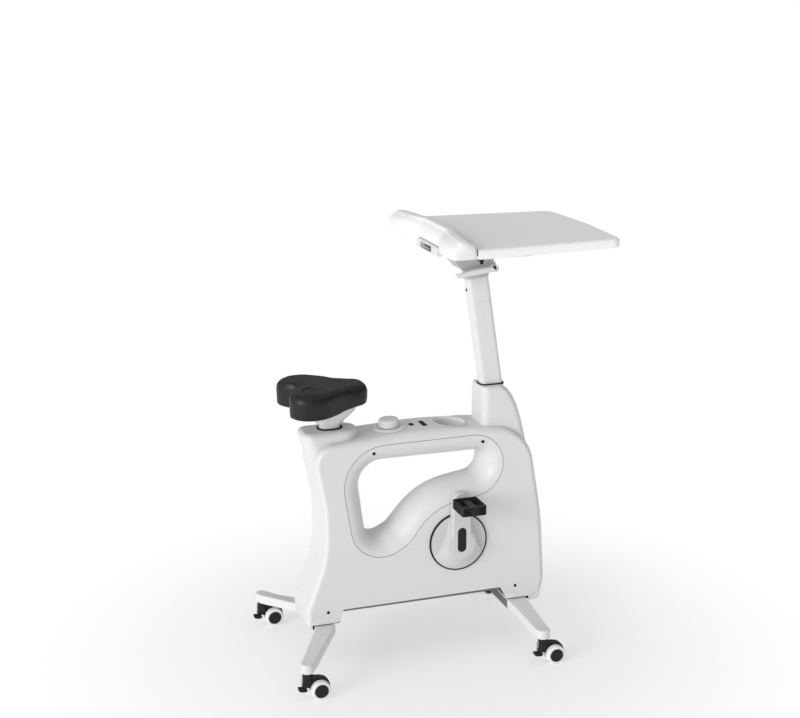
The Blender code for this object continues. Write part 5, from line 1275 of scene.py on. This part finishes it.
# Cranks and pedals

def halfTurn(bm):
    # the left side's crank and pedal are mirrored, and half a turn further round the axle
    about = Matrix.Translation((crank["x"], 0, crank["z"]))
    bm.transform(about @ Matrix.Diagonal((-1, -1, -1, 1)) @ about.inverted())
    bmesh.ops.recalc_face_normals(bm, faces=bm.faces)
    return bm


def fromAxle(points):
    # moves an outline from the crank's axle to its place on the bike
    place = Vector((crank["x"], crank["z"]))
    return [(p + place, n, roll) for p, n, roll in points]


plug = {"middle": (0, 0.015), "recess": (0.0250, 0.0700), "recessRound": 0.0124, "recessDeep": 0.0030,
        "size": (0.0242, 0.0692), "round": 0.0120}


def crankShape():
    face, disc = -crank["armFace"], -crank["discFace"]
    radius, end = crank["disc"], crank["end"]
    profile = [(0.0, face + 0.0004), (0.036, face + 0.0010), (0.0425, face + 0.0030),
               (radius - 0.0027, disc - 0.0015), (radius - 0.0027, disc), (radius - 0.0015, disc),
               (radius, disc + 0.0015), (radius, -crank["discBack"]), (0.0, -crank["discBack"])]
    hub = lathed(eased(profile, 0.0030), 128, "y", (crank["x"], 0, crank["z"]))
    top = crank["length"] + end
    corners = [(-0.0300, -0.020, 0.010, 0.004), (0.0300, -0.020, 0.010, 0.004), (0.0265, 0.062, 0.060, 0.004),
               (end, top, end * 0.97, 0.003), (-end, top, end * 0.97, 0.003), (-0.0265, 0.062, 0.060, 0.004)]
    arm = slab(fromAxle(rounded(corners)), face, disc + 0.002, "y", 6)
    scoops = [rod(0.180, face - past, disc + 0.0005, "y",
                  (crank["x"] + side * 0.2083, 0, crank["z"] + 0.0785), 160, 0.0008) for side in (-1, 1)]
    eye = rod(0.0063, face - past, disc + past, "y", (crank["x"], 0, crank["z"] + crank["length"]), 40)
    recess = fromAxle(rounded(centredBox(plug["middle"], plug["recess"], plug["recessRound"])))
    recess = slab(recess, face - past, face + plug["recessDeep"], "y")
    return carved(carved(carved(hub, together(*scoops)), arm, how="UNION"), eye, recess)


def plugShape():
    face = -crank["armFace"]
    points = fromAxle(rounded(centredBox(plug["middle"], plug["size"], plug["round"]), roll=0.0010))
    return slab(points, face - 0.0004, face + 0.0028, "y", 4)


pedal = {"size": (0.070, 0.080, 0.026), "inner": crank["armFace"] + 0.0115, "spindle": 0.006, "rim": 0.0062,
         "sunk": 0.0040, "barrel": 0.0100, "notch": 0.0022, "groovePitch": 0.0064, "grooveHalf": 0.0017}


def pedalShape():
    x, z = crank["x"], crank["z"] + crank["length"]
    length, width, height = pedal["size"]
    inner = -pedal["inner"]
    outer = inner - width
    left, right = x - length / 2, x + length / 2
    rim = pedal["rim"]
    floor = outer + rim + 0.002
    cage = slab(rounded(boxCorners((left, outer), (right, inner), 0.008), roll=0.0024),
                z - height / 2, z + height / 2, "z")
    windows, hollows, notches, grooves = [], [], [], []
    for side in (-1, 1):
        # a window each side of the barrel, and a shallow hollow and notched edges on both faces
        near, far = sorted((x + side * pedal["barrel"], x + side * (length / 2 - rim)))
        windows.append(slab(rounded(boxCorners((near, floor), (far, inner - rim), 0.003)),
                            z - 0.03, z + 0.03, "z"))
        low, high = sorted((z + side * (height / 2 - pedal["sunk"]), z + side * (height / 2 + past)))
        hollows.append(slab(rounded(boxCorners((left + rim, floor), (right - rim, inner - rim), 0.003)),
                            low, high, "z"))
        low, high = sorted((z + side * (height / 2 - pedal["notch"]), z + side * 0.03))
        for k in range(4):
            edge = outer + 0.014 + k * 0.017
            for middle in (x - (length / 2 - 0.0015), x + (length / 2 - 0.0015)):
                notches.append(block((middle - 0.0045, edge, low), (middle + 0.0045, edge + 0.008, high)))
        for k in range(3):
            middle = x + side * (0.0165 + 0.0070 * (k - 0.5))
            notches.append(block((middle - 0.0016, outer - past, low),
                                 (middle + 0.0016, outer + rim - 0.001, high)))
    for level in (-1, 0, 1):
        low, high = (z + level * pedal["groovePitch"] + side * pedal["grooveHalf"] for side in (-1, 1))
        for near, far in ((left + 0.005, x - 0.010), (x + 0.010, right - 0.005)):
            grooves.append(block((near, outer - 0.004, low), (far, outer + 0.0052, high)))
        grooves.append(block((left - 0.004, outer + 0.012, low), (left + 0.0030, inner - 0.012, high)))
    bore = rod(pedal["spindle"] + 0.0005, outer + 0.004, inner + past, "y", (x, 0, z), 32)
    return carved(cage, together(*windows), together(*hollows), together(*grooves), together(*notches), bore)


def spindleShape():
    inner = -pedal["inner"]
    face = -crank["armFace"]
    radius, collar = pedal["spindle"], 0.0095
    profile = [(0.0, inner - 0.070), (radius, inner - 0.070), (radius, inner + 0.0005),
               (collar, inner + 0.0005), (collar, face - 0.0003), (radius, face - 0.0003),
               (radius, face + 0.020), (0.0, face + 0.020)]
    return lathed(eased(profile, 0.0004), 40, "y", (crank["x"], 0, crank["z"] + crank["length"]))


def makeCranks():
    for hand in ("right", "left"):
        arm, insert, cage, spindle = crankShape(), plugShape(), pedalShape(), spindleShape()
        if hand == "left":
            for shape in (arm, insert, cage, spindle):
                halfTurn(shape)
        dress(arm, hand + "_crank_moulding", "crankMoulding", "crankset", [hand + "_crank"], 34)
        dress(insert, hand + "_crank_plug", "blackNylon", "crankset")
        dress(cage, hand + "_pedal_cage", "blackNylon", hand + "_pedal_body", [hand + "_pedal"], bevel=0.0004)
        dress(spindle, hand + "_pedal_spindle_finish", "turnedSteel", "crankset", [hand + "_pedal_spindle"])


# Deck controls

def makeKnob():
    radius = deck["knobRadius"]
    stem, low = 0.0060, 0.0034
    rim = radius + 0.0205
    dish = [(stem, 0.0004), (rim - 0.001, 0.0004), (rim, 0.0014), (rim - 0.005, 0.0040),
            (radius + 0.0065, 0.0055), (radius + 0.0035, low), (stem, low)]
    dish = onDeck(lathed(eased(dish, 0.0010), 96, ring=True), deck["knobX"])
    dress(dish, "knob_dish", "whiteMoulding", "bike_frame", ["knob_base"])
    knob = [(0.0, -0.022), (0.0045, -0.022), (0.0045, 0.0050), (radius, 0.0050), (radius, 0.0210),
            (radius - 0.0012, 0.0245), (radius - 0.004, 0.0262), (0.0, 0.0268)]
    mark = block((0.0120, -0.0010, 0.0255), (0.0235, 0.0010, 0.0300))
    knob = onDeck(carved(lathed(eased(knob, 0.0016), 96), mark), deck["knobX"])
    dress(knob, "resistance_knob_moulding", "whiteMoulding", "knob_body", ["resistance_knob"])
    pointer = rounded(centredBox((0.0178, 0), (0.0112, 0.0016), 0.0005), roll=0.0003)
    pointer = onDeck(slab(pointer, 0.0245, 0.0262, "z", 2), deck["knobX"])
    dress(pointer, "knob_pointer", "greyNylon", "knob_body")


def makeButtonAndDisplay():
    button = slab(rounded(centredBox((0, 0), deck["buttonSize"], 0.0055), roll=0.0014), -0.0080, 0.0022, "z")
    dress(onDeck(button, deck["buttonX"]), "mode_button_cap", "blackNylon", "button_body", ["mode_button"])
    window = rounded(centredBox((0, 0), deck["displaySize"], 0.0012), roll=0.0005)
    window = slab(window, -0.0090, 0.0006, "z", 3)
    dress(onDeck(window, deck["displayX"]), "display_window", "smokedWindow", "bike_frame", ["display"])


def makeCupHolder():
    inner, wall, deep = deck["cupRadius"], deck["cupWall"], deck["cupDepth"]
    rim = inner + 0.0080
    cup = [(0.0, -deep), (inner - 0.004, -deep), (inner, -deep + 0.006), (inner, -0.003),
           (inner + 0.0040, 0.0024), (rim - 0.001, 0.0020), (rim, 0.0008), (inner + wall, 0.0005),
           (inner + wall, -deep + 0.004),
           (inner - 0.003, -deep - wall), (0.0, -deep - wall)]
    cup = onDeck(lathed(eased(cup, 0.0018), 96), deck["cupX"])
    dress(cup, "cup_holder_well", "whiteMoulding", "bike_frame", ["cup_holder"])


# Everything

plain = {
    "whiteMoulding": ["lever_box"],
    "whitePaint": ["saddle_bracket", "seat_post", "clamp_lever"],
    "greyZinc": ["desk_bracket", "desk_rails"],
    "blackNylon": ["saddle_lever", "magnet_bracket", "drive_pulley"],
    "turnedSteel": ["crank_axle", "flywheel", "flywheel_axle"],
    "blackEnamel": ["base_rail", "seat_frame", "mast_tube", "crank_housing", "drive_bracket"],
    "blackRubber": ["drive_belt"],
    "greyNylon": ["height_lever"],
}
for finish, nodes in plain.items():
    for node in nodes:
        softened(node, finish)
print("hardware finished")

makeShells()
makeTrims()
makeScrews()
makePortRings()
makeShadeStrips()
print("body made")
makeSaddleNeck()
makeMastNeck()
makeGaskets()
makeColumn()
makeKnob()
makeButtonAndDisplay()
makeCupHolder()
print("covers, column and controls made")
for end in ("rear", "front"):
    makeLeg(end + "_leg_beam", legs[end])
    for hand, side in (("right", -1), ("left", 1)):
        makeCaster("{}_{}_caster".format(end, hand), legs[end]["tip"][0], side * legs[end]["tip"][1])
makeBeamShade(legs["front"])
print("legs and casters made")
makeCranks()
print("cranks and pedals made")
makeDesktop()
makeArmPad()
makeDeskDetails()
makeSaddle()
print("desk and saddle made")

makeCamera()
makeStudio()
